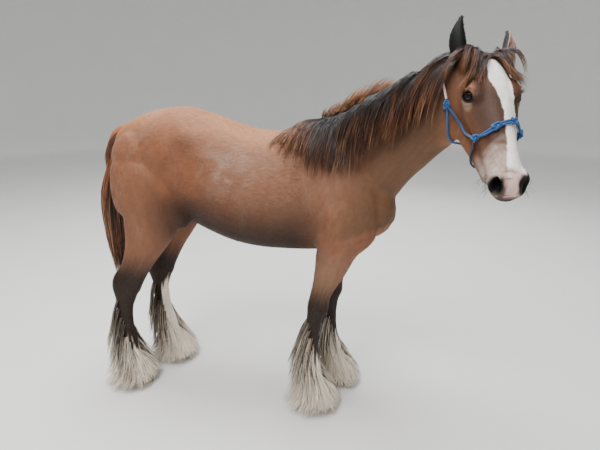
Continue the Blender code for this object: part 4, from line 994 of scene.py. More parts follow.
class Look:
    """A material whose nodes are added one by one."""

    def __init__(self, name, **fixed):
        self.material = bpy.data.materials.new(name)
        self.material.use_nodes = True
        self.tree = self.material.node_tree
        self.surface = self.tree.nodes["Principled BSDF"]
        for socket, value in fixed.items():
            self.surface.inputs[socket.replace("_", " ")].default_value = value

    def node(self, kind, settings=None, sockets=None):
        """Adds a node. Its settings are set first, then the values or links of its sockets."""
        made = self.tree.nodes.new("ShaderNode" + kind)
        for key, value in (settings or {}).items():
            setattr(made, key, value)
        for key, value in (sockets or {}).items():
            self.link(made.inputs[key], value)
        return made

    def link(self, socket, value):
        if isinstance(value, Wire):
            value = value.socket
        if isinstance(value, bpy.types.NodeSocket):
            self.tree.links.new(value, socket)
        else:
            socket.default_value = value

    def number(self, operation, *values):
        made = self.node("Math", {"operation": operation}, dict(enumerate(values)))
        return Wire(self, made.outputs[0])

    def wire(self, made, output=0):
        return Wire(self, made.outputs[output])

    def attribute(self, name, output="Color"):
        return self.node("Attribute", {"attribute_name": name}).outputs[output]

    def place(self):
        """Where each point of a piece lies."""
        return self.node("TexCoord").outputs["Object"]

    def noise(self, scale, detail, vector=None):
        """A noise from 0 to 1, over the places of the points or over another vector."""
        vector = self.place() if vector is None else vector
        sockets = {"Vector": vector, "Scale": scale, "Detail": detail, "Roughness": 0.55}
        return self.wire(self.node("TexNoise", None, sockets), "Fac")

    def spread(self, value, low, high):
        """The value stretched so that low becomes 0 and high becomes 1, and kept between them."""
        made = self.node("MapRange", {"interpolation_type": "SMOOTHSTEP"}, {0: value, 1: low, 2: high})
        return self.wire(made)

    def blend(self, share, first, second):
        """Two colours mixed."""
        first, second = ((*c, 1) if isinstance(c, np.ndarray) else c for c in (first, second))
        return self.node("Mix", {"data_type": "RGBA"}, {0: share, 6: first, 7: second}).outputs[2]

    def shaded(self, colour, value):
        """A colour made darker or lighter by a number near 1."""
        grey = self.node("CombineXYZ", None, {0: value, 1: value, 2: value})
        made = self.node("VectorMath", {"operation": "MULTIPLY"}, {0: colour, 1: grey.outputs[0]})
        return made.outputs[0]

    def bump(self, height, depth, strength=1.0):
        made = self.node("Bump", None, {"Height": height, "Distance": depth, "Strength": strength})
        self.link(self.surface.inputs["Normal"], made.outputs[0])

    def paint(self, colour=None, roughness=None):
        if colour is not None:
            self.link(self.surface.inputs["Base Color"], colour)
        if roughness is not None:
            self.link(self.surface.inputs["Roughness"], roughness)
        return self.material


def hide_look():
    """Short fur that lies flat: the tint of each place, broken up by fine streaks along the coat's lie."""
    look = Look("coat_hide", Sheen_Weight=0.02, Sheen_Roughness=0.4, Specular_IOR_Level=0.18)
    grain = look.attribute("grain", "Vector")
    streak = look.noise(420, 4, grain)
    coarse = look.noise(120, 3, grain)
    cloud = look.noise(26, 4)
    tint = look.attribute("tint")
    shade = 0.60 + 0.42 * streak + 0.25 * coarse + 0.14 * cloud
    look.bump(streak * 0.7 + coarse, 0.0016, 0.55)
    return look.paint(look.shaded(tint, shade), 0.46 + 0.26 * streak)


def hair_look(name, roughness=0.38, sheen=0.04):
    """Long or short hair: the tint that each strand carries, with fine lighter and darker hairs."""
    look = Look(name, Sheen_Weight=sheen, Sheen_Roughness=0.4, Specular_IOR_Level=0.40)
    fine = look.noise(700, 2)
    tint = look.attribute("tint")
    return look.paint(look.shaded(tint, 0.80 + 0.40 * fine), roughness + 0.2 * fine)


def bare_skin_look():
    """Moist dark skin on the rims of the lids."""
    look = Look("rim_skin", Specular_IOR_Level=0.55)
    fine = look.noise(900, 3)
    look.bump(fine, 0.0004, 0.5)
    colour = look.blend(fine, tone(20, 17, 17), tone(52, 42, 38))
    return look.paint(colour, 0.28 + 0.25 * fine)


def eye_look():
    """A dark brown iris with a wide, level pupil, under a wet clear coat."""
    look = Look("eye_glass", Coat_Weight=0.5, Coat_Roughness=0.02, Specular_IOR_Level=0.05)
    gaze = look.node("SeparateXYZ", None, {0: look.attribute("gaze", "Vector")})
    across, up = look.wire(gaze, 0), look.wire(gaze, 1)
    pupil = look.number("SQRT", across * across * 2.6 + up * up * 7.0)
    ring = look.number("SQRT", across * across + up * up * 1.2)
    angle = look.number("ARCTAN2", up, across)
    rays = look.node("CombineXYZ", None, {0: angle * 3.0, 1: ring * 2.0, 2: 0.0}).outputs[0]
    fibre = look.noise(6.0, 3, rays)
    iris = look.blend(fibre, tone(10, 6, 4), tone(38, 21, 12))
    iris = look.blend(look.spread(ring, 0.46, 0.66), iris, tone(6, 5, 5))
    iris = look.blend(look.spread(ring, 0.76, 0.86), iris, tone(18, 12, 10))
    colour = look.blend(look.spread(pupil, 0.62, 0.52), iris, tone(2, 2, 4))
    return look.paint(colour, 0.06 + 0.06 * fibre)


def hoof_look():
    """Pale horn with growth rings round it, streaks down it, and earth towards the floor."""
    look = Look("hoof_horn", Specular_IOR_Level=0.4)
    place = look.place()
    axes = look.node("SeparateXYZ", None, {0: place})
    height = look.wire(axes, 2)
    wobble = look.noise(30, 2)
    rings = look.number("SINE", height * 1250 + wobble * 5)
    grain = look.node("VectorMath", {"operation": "MULTIPLY"}, {0: place, 1: (1, 1, 0.05)}).outputs[0]
    streak = look.noise(260, 3, grain)
    colour = look.blend(streak, tone(92, 78, 62), tone(170, 150, 122))
    dirt = look.spread(height + 0.02 * wobble, 0.034, 0.004)
    colour = look.blend(dirt * 0.7, colour, tone(86, 68, 50))
    look.bump(rings * 0.5 + streak, 0.0009, 0.6)
    return look.paint(colour, 0.42 + 0.3 * streak)


def rope_look(name, first, second):
    """Braided cord: two families of yarns that cross, read along and round the rope."""
    look = Look(name, Sheen_Weight=0.2, Specular_IOR_Level=0.4)
    along = look.wire(look.node("Attribute", {"attribute_name": "along"}), "Fac")
    around = look.wire(look.node("Attribute", {"attribute_name": "around"}), "Fac")
    turns = 4.0
    pitch = 0.0060
    left = look.number("SINE", (along / pitch + around * turns) * 2 * math.pi)
    right = look.number("SINE", (along / pitch - around * turns) * 2 * math.pi)
    yarn = look.number("MAXIMUM", left, right)
    which = look.spread(left - right, -0.2, 0.2)
    fuzz = look.noise(1400, 2)
    colour = look.blend(which, first, second)
    look.bump(yarn * 0.6 + fuzz * 0.4, 0.0008, 0.8)
    # Painted shade: the colour is darker in the grooves between the yarns
    shade = 0.55 + 0.35 * look.spread(yarn, -0.2, 0.9) + 0.3 * fuzz
    return look.paint(look.shaded(colour, shade), 0.48 + 0.3 * fuzz)


def floor_look():
    look = Look("floor_paint", Specular_IOR_Level=0.2)
    fine = look.noise(3, 3)
    colour = look.blend(fine, tone(222, 221, 218), tone(228, 227, 224))
    return look.paint(colour, 0.75 + 0.1 * fine)


def settle_in_row(obj, look=None):
    """Moves a drawn piece to where the solids stand and gives it its material."""
    obj.data.transform(Matrix.Translation(SHIFT))
    obj.data.update()
    if look:
        obj.data.materials.clear()
        obj.data.materials.append(look)
    return obj


def wear(obj, slot, *nodes):
    """Makes a finished piece part of the horse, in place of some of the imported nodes."""
    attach(obj, "root")
    if nodes:
        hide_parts(*nodes)
    return obj


def paint_points(mesh, name, values, kind="FLOAT_COLOR"):
    """Stores a colour or a vector for each vertex."""
    values = np.asarray(values, np.float32)
    if kind == "FLOAT_COLOR":
        values = np.concatenate([values, np.ones((len(values), 1), np.float32)], axis=1)
        mesh.color_attributes.new(name, kind, "POINT").data.foreach_set("color", values.ravel())
    else:
        mesh.attributes.new(name, kind, "POINT").data.foreach_set("vector", values.ravel())


def mesh_from(name, points, faces):
    """An object from points and faces that all have the same number of corners, or a list of such groups."""
    groups = faces if isinstance(faces, list) else [faces]
    mesh = bpy.data.meshes.new(name)
    mesh.vertices.add(len(points))
    mesh.vertices.foreach_set("co", np.asarray(points, np.float32).ravel())
    loops = np.concatenate([group.ravel() for group in groups])
    sizes = np.concatenate([np.full(len(group), group.shape[1]) for group in groups])
    mesh.loops.add(len(loops))
    mesh.loops.foreach_set("vertex_index", loops.astype(np.int32))
    mesh.polygons.add(len(sizes))
    mesh.polygons.foreach_set("loop_start", (np.cumsum(sizes) - sizes).astype(np.int32))
    mesh.polygons.foreach_set("use_smooth", np.ones(len(sizes), bool))
    mesh.update(calc_edges=True)
    mesh.validate()
    return add_object(name, mesh)


def tree_from(obj):
    return BVHTree.FromPolygons(
        [v.co.copy() for v in obj.data.vertices], [tuple(p.vertices) for p in obj.data.polygons])


class Hair:
    """Collects strands and joins them in one mesh, each with its tint and its place on the unwrap."""

    def __init__(self, seed):
        self.dice = np.random.default_rng(SEED + seed)
        self.paths, self.outs, self.widths, self.tints, self.spots = [], [], [], [], []

    def comb_beside(self, points, faces, count, steps, root, tip, deep, short=0.72, wave=0.006, droop=0.0):
        """Strands beside a guide, spread over root across it at its start and over tip at its end."""
        dice = self.dice
        knots = np.linspace(0, 1, len(points))
        length = dice.uniform(short, 1.0, count)
        short_one = dice.uniform(size=count) < 0.10
        length = np.where(short_one, length * dice.uniform(SHORTEST, 0.9, count), length)
        t = np.linspace(0, 1, steps + 1)[None] * length[:, None]
        smooth = catmull_rom(np.array(points), 4)
        fine = np.linspace(0, 1, len(smooth))
        path = np.stack([np.interp(t, fine, smooth[:, k]) for k in range(3)], axis=-1)
        out = np.stack([np.interp(t, knots, np.array(faces)[:, k]) for k in range(3)], axis=-1)
        across = units(np.cross(np.gradient(path, axis=1), out))
        place = dice.uniform(-1, 1, count)[:, None]
        side = place * (root + (tip - root) * t**0.8)
        turns = dice.uniform(0.5, 1.6, count)[:, None]
        phase = dice.uniform(0, 2 * math.pi, count)[:, None]
        side = side + wave * t * np.sin(2 * math.pi * turns * t + phase)
        rise = dice.uniform(0, 1, count)[:, None] * deep * np.minimum(1, 3 * t)
        rise = rise + 0.5 * wave * t * np.cos(2 * math.pi * turns * t + phase)
        path = path + across * side[..., None] + out * rise[..., None]
        path[..., 2] -= droop * t**2
        return path, out, t

    def add(self, path, out, width, tint, spot):
        self.paths.append(path)
        self.outs.append(out)
        self.widths.append(np.broadcast_to(width, len(path)))
        self.tints.append(tint)
        self.spots.append(np.broadcast_to(spot, (len(path), 2)))

    def piece(self, name, look, lift=None):
        """One closed, three-sided, tapered prism for each strand, held off the hide where lift is given."""
        path = np.concatenate(self.paths)
        out = np.concatenate(self.outs)
        width = np.concatenate(self.widths)
        tint = np.concatenate(self.tints)
        spot = np.concatenate(self.spots)
        if lift:
            push_out(path, lift)
        path[..., 2] = np.maximum(path[..., 2], STRAND_FLOOR)
        count, rings = path.shape[0], path.shape[1] - 1
        ahead = units(np.gradient(path, axis=1)[:, :rings])
        across = units(np.cross(ahead, out[:, :rings]))
        outward = np.cross(across, ahead)
        share = np.linspace(0, 1, rings + 1)[:rings]
        taper = (0.75 + 0.9 * share) * (1 - share**2.2)
        wide = (width[:, None] * taper[None])[..., None]
        base = path[:, :rings]
        corners = np.stack([base - across * wide, base + outward * wide, base + across * wide], axis=2)
        body = corners.reshape(count, rings * 3, 3)
        points = np.concatenate([body, path[:, rings:]], axis=1).reshape(-1, 3)
        first = (np.arange(count) * (rings * 3 + 1))[:, None]
        i, j = np.divmod(np.arange((rings - 1) * 3), 3)
        k = (j + 1) % 3
        quads = np.stack([i * 3 + j, i * 3 + k, i * 3 + 3 + k, i * 3 + 3 + j], axis=1)
        last = (rings - 1) * 3
        tips = np.array([(last + a, last + (a + 1) % 3, rings * 3) for a in range(3)] + [(0, 2, 1)])
        quads = (first[..., None] + quads[None]).reshape(-1, 4)
        tips = (first[..., None] + tips[None]).reshape(-1, 3)
        made = mesh_from(name, points, [quads, tips])
        shades = np.concatenate([np.repeat(tint[:, :rings], 3, axis=1), tint[:, rings:]], axis=1)
        paint_points(made.data, "tint", shades.reshape(-1, 3))
        level = np.concatenate([np.repeat(np.arange(rings) / rings, 3), [1.0]])
        side = np.concatenate([np.tile((0, 0.5, 1), rings), [0.5]])
        patch = PATCH * np.stack([side, level], axis=1)
        place = (spot[:, None] * (1 - PATCH) + patch[None]).reshape(-1, 2)
        lay_uv(made.data, place)
        return settle_in_row(made, look)


def lay_uv(mesh, place):
    """Gives each corner of each face the place that its vertex has on the unwrap."""
    loops = np.empty(len(mesh.loops), np.int32)
    mesh.loops.foreach_get("vertex_index", loops)
    mesh.uv_layers.new(name="OFBake").data.foreach_set("uv", place[loops].astype(np.float32).ravel())


def push_out(path, lift):
    """Moves points, but not roots, that lie under a surface to just over it."""
    for strand in path:
        for k in range(1, len(strand)):
            place = Vector(strand[k])
            spot, normal, _, far = HIDE_TREE.find_nearest(place)
            if far > FAR_FROM_HIDE:
                continue
            height = (place - spot).dot(normal)
            need = lift * min(1.0, k / 2)
            if height < need:
                strand[k] = place + normal * (need - height)


def strand_tints(dice, root, tip, count, t, spread=0.22):
    """Tints that run from root to tip, each strand a little darker or lighter than the next."""
    value = dice.uniform(1 - spread, 1 + spread, count)[:, None, None]
    share = np.clip(t, 0, 1)[..., None] ** 1.3
    return (np.asarray(root) * (1 - share) + np.asarray(tip) * share) * value


def mane():
    """Layers that fall to the right of the crest, with the strands at the withers swept back."""
    hair = Hair(1)
    dice = hair.dice
    for layer, (count, lift, first, last) in enumerate(MANE_LAYERS):
        for i, (crest, right, onward) in enumerate(crest_points(count, first, last)):
            share = i / (count - 1)
            length = MANE_LENGTH * (0.80 + 0.34 * math.sin(math.pi * share**0.9)) * dice.uniform(0.78, 1.10)
            back = 0.85 - 1.9 * share if share < 0.3 else 0.28 - 0.35 * (share - 0.3)
            root = crest - Vector((0, 0, 0.010)) + right * (0.006 * layer - 0.006)
            heading = right + Vector((0, 0, 0.35)) - onward * (back + dice.uniform(-0.07, 0.07))
            points, faces = comb(root, heading, length, lift, 6, droop=0.75)
            mane_strands(hair, points, faces, (0.018, 0.011), share, (share, 0.1 + 0.2 * layer))
    # Over the poll and down the side of the neck behind the right ear
    right_of_head = Vector(head_axes()[2])
    crest, right, onward = crest_points(1, 17.5, 17.5)[0]
    for i in range(POLL_GUIDES):
        share = (i // 2) / (POLL_GUIDES / 2 - 1)
        top = crest.lerp(Vector(on_head(-0.004, -0.004, 0.004)), share)
        across = right.lerp(right_of_head, share)
        spot, normal, _, _ = HIDE_TREE.find_nearest(top + across * (0.045 if i % 2 else 0.014))
        heading = normal * 0.8 + across * 0.5 - onward * (0.10 + 0.15 * share) - Vector((0, 0, 0.4))
        length = MANE_LENGTH * dice.uniform(0.70, 1.15)
        points, faces = comb(spot - normal * 0.003, heading, length, 0.006 + 0.004 * (i % 3), 6, 0.7)
        mane_strands(hair, points, faces, (0.016, 0.012), 0.16, (share, 0.95))
    return hair.piece("mane", MANE_LOOK, STRAND_LIFT)


def mane_strands(hair, points, faces, widths, share, spot):
    """Adds strands of the mane beside a guide, black from the crest and redder at the withers and the tips.

    widths are how far they spread at the root and at the tip, and share is where they are along the neck.
    """
    dice = hair.dice
    path, out, t = hair.comb_beside(points, faces, MANE_STRANDS, 8, *widths, 0.006, wave=0.005)
    sun = dice.uniform(size=MANE_STRANDS)[:, None, None]
    edge = ease(0.26, 0.0, share)
    root_tint = MANE_DARK * (1 - 0.7 * edge) + MANE_BROWN * 0.7 * edge
    tip = np.where(sun < 0.34 + 0.3 * edge, MANE_RED, np.where(sun < 0.46 + 0.45 * edge, GOLD, MANE_BROWN))
    late = np.clip((t - 0.35 + 0.25 * edge) / 0.65, 0, 1)
    tint = strand_tints(dice, root_tint, tip, MANE_STRANDS, late, 0.40)
    hair.add(path, out, dice.uniform(0.0007, 0.0014, MANE_STRANDS), tint, spot)


def mane_fan():
    """The bushy, sun-bleached hair that stands up and forward on the left of the crest."""
    hair = Hair(2)
    dice = hair.dice
    for i, (crest, right, onward) in enumerate(crest_points(FAN_GUIDES, 4.5, 14.5)):
        share = i / (FAN_GUIDES - 1)
        root = crest - Vector((0, 0, 0.008)) - right * dice.uniform(0.004, 0.014)
        high = 0.15 + 0.85 * math.sin(math.pi * min(1, share * 1.10)) ** 0.6
        heading = Vector((0, 0, 1.15)) - right * dice.uniform(0.10, 0.60) + onward * dice.uniform(0.25, 0.80)
        points, _ = comb(root, heading, dice.uniform(0.080, 0.175) * high, 0.008, 5, droop=0.26)
        faces = [Vector((0, 0, 1)) + right * 0.6] * len(points)
        path, out, t = hair.comb_beside(points, faces, FAN_STRANDS, 7, 0.018, 0.030, 0.014, 0.6, 0.010)
        tip = np.where(dice.uniform(size=FAN_STRANDS)[:, None, None] < 0.45, GOLD, MANE_RED)
        tint = strand_tints(dice, MANE_DARK, tip, FAN_STRANDS, np.clip(1.6 * t, 0, 1), 0.4)
        hair.add(path, out, dice.uniform(0.0008, 0.0014, FAN_STRANDS), tint, (share, 0.5))
    return hair.piece("mane_fan", HAIR_LOOK, STRAND_LIFT)


def forelock():
    """Hair from between the ears that parts to both sides of the forehead."""
    hair = Hair(3)
    dice = hair.dice
    a, b, c = (Vector(v) for v in head_axes())
    for side in (-1, 1):
        for i in range(FORELOCK_GUIDES):
            share = i / (FORELOCK_GUIDES - 1)
            root = Vector(on_head(-0.018 + 0.046 * share, -0.006, side * (0.036 - 0.034 * share)))
            heading = a * (0.65 + 0.45 * share) + b * 0.5 + c * side * (1.05 - 0.3 * share)
            length = dice.uniform(0.130, 0.190)
            points, faces = comb(root, heading, length, 0.004 + 0.010 * (i % 2), 6, droop=0.70)
            path, out, t = hair.comb_beside(
                points, faces, FORELOCK_STRANDS, 8, 0.012, 0.012, 0.007, 0.6, 0.006)
            bright = dice.uniform(size=FORELOCK_STRANDS)[:, None, None]
            gold = 0.35 if side < 0 else 0.22
            tip = np.where(bright < gold, GOLD, np.where(bright < 0.6, MANE_RED, MANE_BROWN))
            root_tint = np.where(bright < 0.12, MANE_RED, MANE_DARK * 1.2)
            tint = strand_tints(dice, root_tint, tip, FORELOCK_STRANDS, np.clip(1.5 * t - 0.4, 0, 1), 0.35)
            width = dice.uniform(0.0007, 0.0012, FORELOCK_STRANDS)
            hair.add(path, out, width, tint, (0.5 + side * 0.4 * share, 0.5))
    return hair.piece("forelock", HAIR_LOOK, STRAND_LIFT)


def tail_dock():
    """The bone of the tail in its skin."""
    rows = catmull_rom(DOCK, 6)
    half = rows[:, 3] - COAT_DEPTH
    bone = lofted("tail_dock", limb_rings(rows[:, :3], half, half * 0.9, 24))
    smooth(bone)
    co = coordinates(bone.data)
    paint_points(bone.data, "tint", mixed(BAY_RED, MANE_DARK, ease(1.24, 1.16, co[:, 2])))
    paint_points(bone.data, "grain", co * (1, 1, 0.2), "FLOAT_VECTOR")
    return settle_in_row(bone, HIDE_LOOK)


def tail_hair():
    """Long hair that hangs in three rings from the dock to the hocks, with short hair over its root."""
    rows = catmull_rom(DOCK, 6)
    hair = Hair(4)
    dice = hair.dice
    for ring, (count, spread) in enumerate(TAIL_RINGS):
        for i in range(count):
            angle = 2 * math.pi * (i + 0.5 * (ring % 2) + 0.25) / count
            out = Vector((-math.cos(angle), math.sin(angle), 0))
            share = 0.50 + 0.36 * out.x + dice.uniform(-0.10, 0.10)
            start = rows[int(np.clip(share, 0, 1) * (len(rows) - 1))]
            end = TAIL_END + dice.uniform(0.0, 0.14)
            wide = spread * dice.uniform(0.80, 1.0)
            root = Vector(start[:3]) + out * start[3] * 0.7
            points = [root]
            for k in range(1, 9):
                t = k / 8
                z = start[2] + (end - start[2]) * t
                fullness = max(0.22, math.sin(math.pi * (0.16 + 0.74 * (1.20 - z) / 0.72)))
                middle = Vector((TAIL_LINE + 0.10 * max(0, z - 1.05), 0, z))
                deep = TAIL_HALF[0] * (1.0 if out.x < 0 else 0.5)
                hang = middle + Vector((out.x * deep, out.y * TAIL_HALF[1], 0)) * wide * fullness
                place = held_off(root.lerp(hang, min(1.0, t * 2.4)), 0.004)
                points.append(Vector((place.x, place.y, z)))
            path, outs, t = hair.comb_beside(
                points, [out] * len(points), TAIL_STRANDS, TAIL_STEPS, 0.006, 0.011, 0.006, 0.78, 0.006)
            bright = dice.uniform(size=TAIL_STRANDS)[:, None, None]
            outer = 0.5 if ring == 0 else 0.12
            tip = np.where(bright < outer * 0.35, GOLD, np.where(bright < outer, MANE_RED, MANE_DARK))
            top = MANE_RED if ring == 0 and start[2] > 1.16 else MANE_DARK
            tint = strand_tints(dice, top, tip, TAIL_STRANDS, np.minimum(1, t * 1.5), 0.3)
            spot = (i / count, 0.1 + 0.3 * ring)
            hair.add(path, outs, dice.uniform(0.0009, 0.0016, TAIL_STRANDS), tint, spot)
    # Short reddish hair that stands off the root of the tail
    for i in range(TAIL_TUFTS):
        start = rows[int(dice.uniform(0.04, 0.42) * (len(rows) - 1))]
        angle = dice.uniform(-1.5, 1.5)
        out = Vector((-math.cos(angle), math.sin(angle), 0.25))
        root = Vector(start[:3]) + out * start[3] * 0.8
        heading = out * 0.22 + Vector((0, 0, -1))
        points = [root + heading * (0.085 * k / 5) - out * 0.010 * (k / 5) ** 2 for k in range(6)]
        path, outs, t = hair.comb_beside(points, [out] * 6, 16, TAIL_STEPS, 0.008, 0.012, 0.008, 0.5, 0.004)
        tip = np.where(dice.uniform(size=16)[:, None, None] < 0.4, GOLD, MANE_RED)
        tint = strand_tints(dice, MANE_BROWN, tip, 16, t, 0.3)
        hair.add(path, outs, 0.0009, tint, (i / TAIL_TUFTS, 0.9))
    return hair.piece("tail_hair", HAIR_LOOK)


def bell_reach(height, out):
    """How far the bell of feather round a foot reaches from the middle of the leg. It is longest behind."""
    return np.interp(height, *zip(*FEATHER_BELL)) * (1 - FEATHER_LEAN * out.x)


def feather(corner):
    """Rows of hair from below the knee or hock, each over the next, that spread in a bell over the hoof."""
    hair = Hair(5 + list(FOOT_SHIFT).index(corner))
    dice = hair.dice
    for row, (height, count, arc, end) in enumerate(FEATHER_ROWS):
        for i in range(count):
            turn = (i + 0.5 + 0.5 * (row % 2)) / count - 0.5 + dice.uniform(-0.3, 0.3) / count
            angle = math.radians(arc) * turn
            out = Vector((-math.cos(angle), math.sin(angle), 0))
            level_of_root = height + dice.uniform(-0.02, 0.02)
            middle = leg_point(corner, level_of_root)
            skin = HIDE_TREE.ray_cast(middle, out)[0] or middle + out * 0.03
            low = max(STRAND_FLOOR, end + dice.uniform(-0.012, 0.030))
            side = math.copysign(1.0, middle.y)
            room = FEATHER_APART + 0.012 * abs(out.x)
            points = [skin - out * 0.004]
            over = 0.0022 * (len(FEATHER_ROWS) - 1 - row) + dice.uniform(-0.005, 0.004)
            for k in range(1, 6):
                level = skin.z + (low - skin.z) * k / 5
                axis = leg_point(corner, max(level, CORONET_HEIGHT))
                out_there = (skin - middle).length
                out_there += (bell_reach(level, out) + over - out_there) * (k / 5) ** 0.7
                place = Vector((axis.x, axis.y, level)) + out * out_there
                place.y = side * max(side * place.y, room)
                points.append(held_off(place, 0.002) if k < 5 else place)
            path, outs, t = hair.comb_beside(
                points, [out] * len(points), FEATHER_STRANDS, 7, 0.014, 0.011, 0.005, 0.72, 0.006)
            flip = side * path[..., 1] < FEATHER_APART
            path[..., 1] = np.where(flip, side * FEATHER_APART, path[..., 1])
            light = paleness(corner, skin.z, out, dice, FEATHER_STRANDS)[:, None, None]
            late = np.clip(light + 0.9 * t[..., None] ** 1.5 * (light > 0.08), 0, 1)
            brown = dice.uniform(size=(FEATHER_STRANDS, 1, 1)) < 0.2
            warm = np.where(brown, tone(150, 112, 80), DARK_LEG * 1.4)
            tint = (warm * (1 - late) + CREAM * late) * dice.uniform(0.88, 1.12, (FEATHER_STRANDS, 1, 1))
            spot = (0.5 + turn * 0.9, min(0.95, skin.z / 0.48))
            hair.add(path, outs, dice.uniform(0.0008, 0.0015, FEATHER_STRANDS), tint, spot)
    return hair.piece("feather_" + corner, FEATHER_LOOK, lift=0.001)


def paleness(corner, height, out, dice, count):
    """How pale the strands from a place on a leg are: 0 dark, 1 cream."""
    behind = 0.5 - 0.5 * out.x
    if corner == "hind_left":
        middle = 0.36 - 0.24 * behind
    elif corner == "hind_right":
        middle = 0.17 + 0.05 * behind
    else:
        middle = 0.29 - 0.13 * ease(0.6, 0.95, out.x)
    chance = float(ease(middle + 0.16, middle - 0.10, height))
    pale = dice.uniform(size=count) < chance
    return np.where(pale, dice.uniform(0.7, 1.0, count), dice.uniform(0.0, 0.14, count))


def smooth(obj, sharp=None):
    mesh = obj.data
    mesh.polygons.foreach_set("use_smooth", np.ones(len(mesh.polygons), bool))
    if sharp:
        mesh.set_sharp_from_angle(angle=math.radians(sharp))
    mesh.update()


def refine(obj, inside):
    """Splits each edge that has both its ends inside a region in two, which makes its faces four."""
    work = bmesh.new()
    work.from_mesh(obj.data)
    work.verts.ensure_lookup_table()
    edges = [e for e in work.edges if inside[e.verts[0].index] and inside[e.verts[1].index]]
    bmesh.ops.subdivide_edges(work, edges=edges, cuts=1, use_grid_fill=True)
    work.to_mesh(obj.data)
    work.free()


def feature_distance(co):
    """How far each point is from the nearest eye, nostril or corner of the mouth."""
    places = [eye_frame(side)[0] for side in (-1, 1)]
    places += [on_head(0.490, -0.050, side * 0.040) for side in (-1, 1)] + [on_head(0.50, -0.085, 0)]
    return np.min([lengths(co - place) for place in places], axis=0)


def carve_face(obj):
    """The fine folds: over, under and before the eyes, then round the nostrils, and along lips and jaw."""
    carve(obj, by_eye, [
        ([(-1.05, 0.55, 0.85), (-0.5, 0.98, 0.85), (0.2, 1.10, 0.85), (0.85, 0.85, 0.85)], 0.0055, -0.0016),
        ([(-1.0, 0.85, 0.85), (-0.3, 1.30, 0.85), (0.5, 1.32, 0.85), (1.1, 0.9, 0.85)], 0.0080, 0.0018),
        ([(-0.95, -0.62, 0.85), (-0.2, -0.95, 0.85), (0.6, -0.85, 0.85)], 0.0050, -0.0010),
        ([(-0.9, -1.05, 0.7), (0.0, -1.35, 0.7), (0.8, -1.15, 0.7)], 0.0070, 0.0010),
        ([(1.15, -0.20, 0.6), (1.45, -0.35, 0.6)], 0.0050, -0.0018),
    ])
    rim = [(0.470, -0.028, 0.030), (0.486, -0.022, 0.040), (0.503, -0.034, 0.048), (0.510, -0.052, 0.047)]
    carve(obj, on_side, [
        (rim, 0.010, 0.0030),
        ([(0.466, -0.040, 0.044), (0.476, -0.058, 0.055), (0.494, -0.068, 0.054)], 0.010, 0.0022),
        ([(0.455, -0.097, 0.050), (0.485, -0.094, 0.044), (0.512, -0.092, 0.022)], 0.006, -0.0015),
        ([(0.205, -0.090, 0.082), (0.270, -0.095, 0.070), (0.330, -0.090, 0.058)], 0.006, 0.0010),
        ([(0.120, -0.215, 0.060), (0.180, -0.215, 0.062), (0.240, -0.195, 0.058)], 0.020, 0.0020),
    ])


def carve_body(obj):
    """The edge of the shoulder, four ribs and the tendons of the legs, which show under the coat."""
    shoulder = [([(0.93, 0.16, 0.90), (0.90, 0.17, 1.00), (0.86, 0.17, 1.10)], 0.030, -0.003)]
    ribs = []
    for k in range(4):
        x = 0.46 + 0.075 * k
        ribs.append(([(x + 0.03, 0.21, 1.12), (x, 0.215, 1.00), (x - 0.03, 0.20, 0.90)], 0.028, 0.0018))
    carve(obj, on_flank, shoulder + ribs)
    for corner in FOOT_SHIFT:
        back = -0.022 if corner.startswith("fore") else -0.026
        for side in (-1, 1):
            line = [leg_point(corner, z) + Vector((back, side * 0.016, 0)) for z in (0.42, 0.34, 0.26, 0.18)]
            stroke(obj, line, 0.012, 0.0025)


def open_face(body):
    """Cuts the sockets, the slits between the lids, the nostrils and the line of the mouth."""
    cutters = new_collection("cutters")
    for side in (-1, 1):
        middle, along, over, out = eye_frame(side)
        socket = Flesh()
        socket.ball(middle, [EYE_RADIUS + 0.0004] * 3, Matrix((along, over, out)).transposed(), sides=48)
        socket.object("socket", cutters)
        long, high = EYE_OPENING
        lofted("slit", [
            oval(middle + out * d * EYE_RADIUS, along * long * grow, over * high * grow, square=1.2, sides=56)
            for d, grow in LID_OPENING
        ], cutters)
    a, b, c = head_axes()
    for side in (-1, 1):
        out = unit(0.50 * a + 0.34 * b + side * 0.80 * c)
        long = unit(0.62 * a - 0.78 * b - out * (0.62 * 0.50 - 0.78 * 0.34))
        across = np.cross(out, long)
        mouth = on_head(0.493, -0.046, side * 0.038)
        lofted("nostril", [
            oval(mouth + out * d - long * back, across * wide, long * high, egg=-0.25, sides=36)
            for d, wide, high, back in NOSTRIL
        ], cutters)
    slit = Flesh()
    slit.ball(on_head(0.515, -0.089, 0), (0.072, 0.0018, 0.090), head_matrix(), sides=48)
    slit.object("mouth", cutters)
    cut_out(body, cutters)


def seat_lids(body):
    """Pushes the hide over each eye out until the lids have their full thickness."""
    co = coordinates(body.data)
    for side in (-1, 1):
        middle, _, _, out = eye_frame(side)
        way = co - middle
        far = lengths(way)
        near = (far < EYE_RADIUS + LID) & (way @ out > -0.2 * EYE_RADIUS)
        co[near] = middle + way[near] * ((EYE_RADIUS + LID) / far[near])[:, None]
    move_points(body.data, co)


def hide():
    """One hide for head, neck, trunk and legs, dense on the head and densest round its openings."""
    body = fused_flesh()
    relax(body, 250, trunk_share(body))
    relax(body, 24)
    sculpt_body(body)
    sculpt_head(body)
    relax(body, 3)
    refine(body, trunk_share(body) < 0.5)
    relax(body, 4, 1 - trunk_share(body))
    refine(body, feature_distance(coordinates(body.data)) < 0.036)
    relax(body, 3, 1 - trunk_share(body))
    carve_face(body)
    carve_body(body)
    seat_lids(body)
    inside = trunk_share(body) > 0.5
    thin(body, inside, TRUNK_TRIANGLES)
    worn = tree_from(body)
    away = COAT_DEPTH * np.where(feature_distance(coordinates(body.data)) < 0.036, 0.3, 1.0)
    move_points(body.data, coordinates(body.data) - normals(body.data) * away[:, None])
    open_face(body)
    smooth(body, 48)
    return body, worn


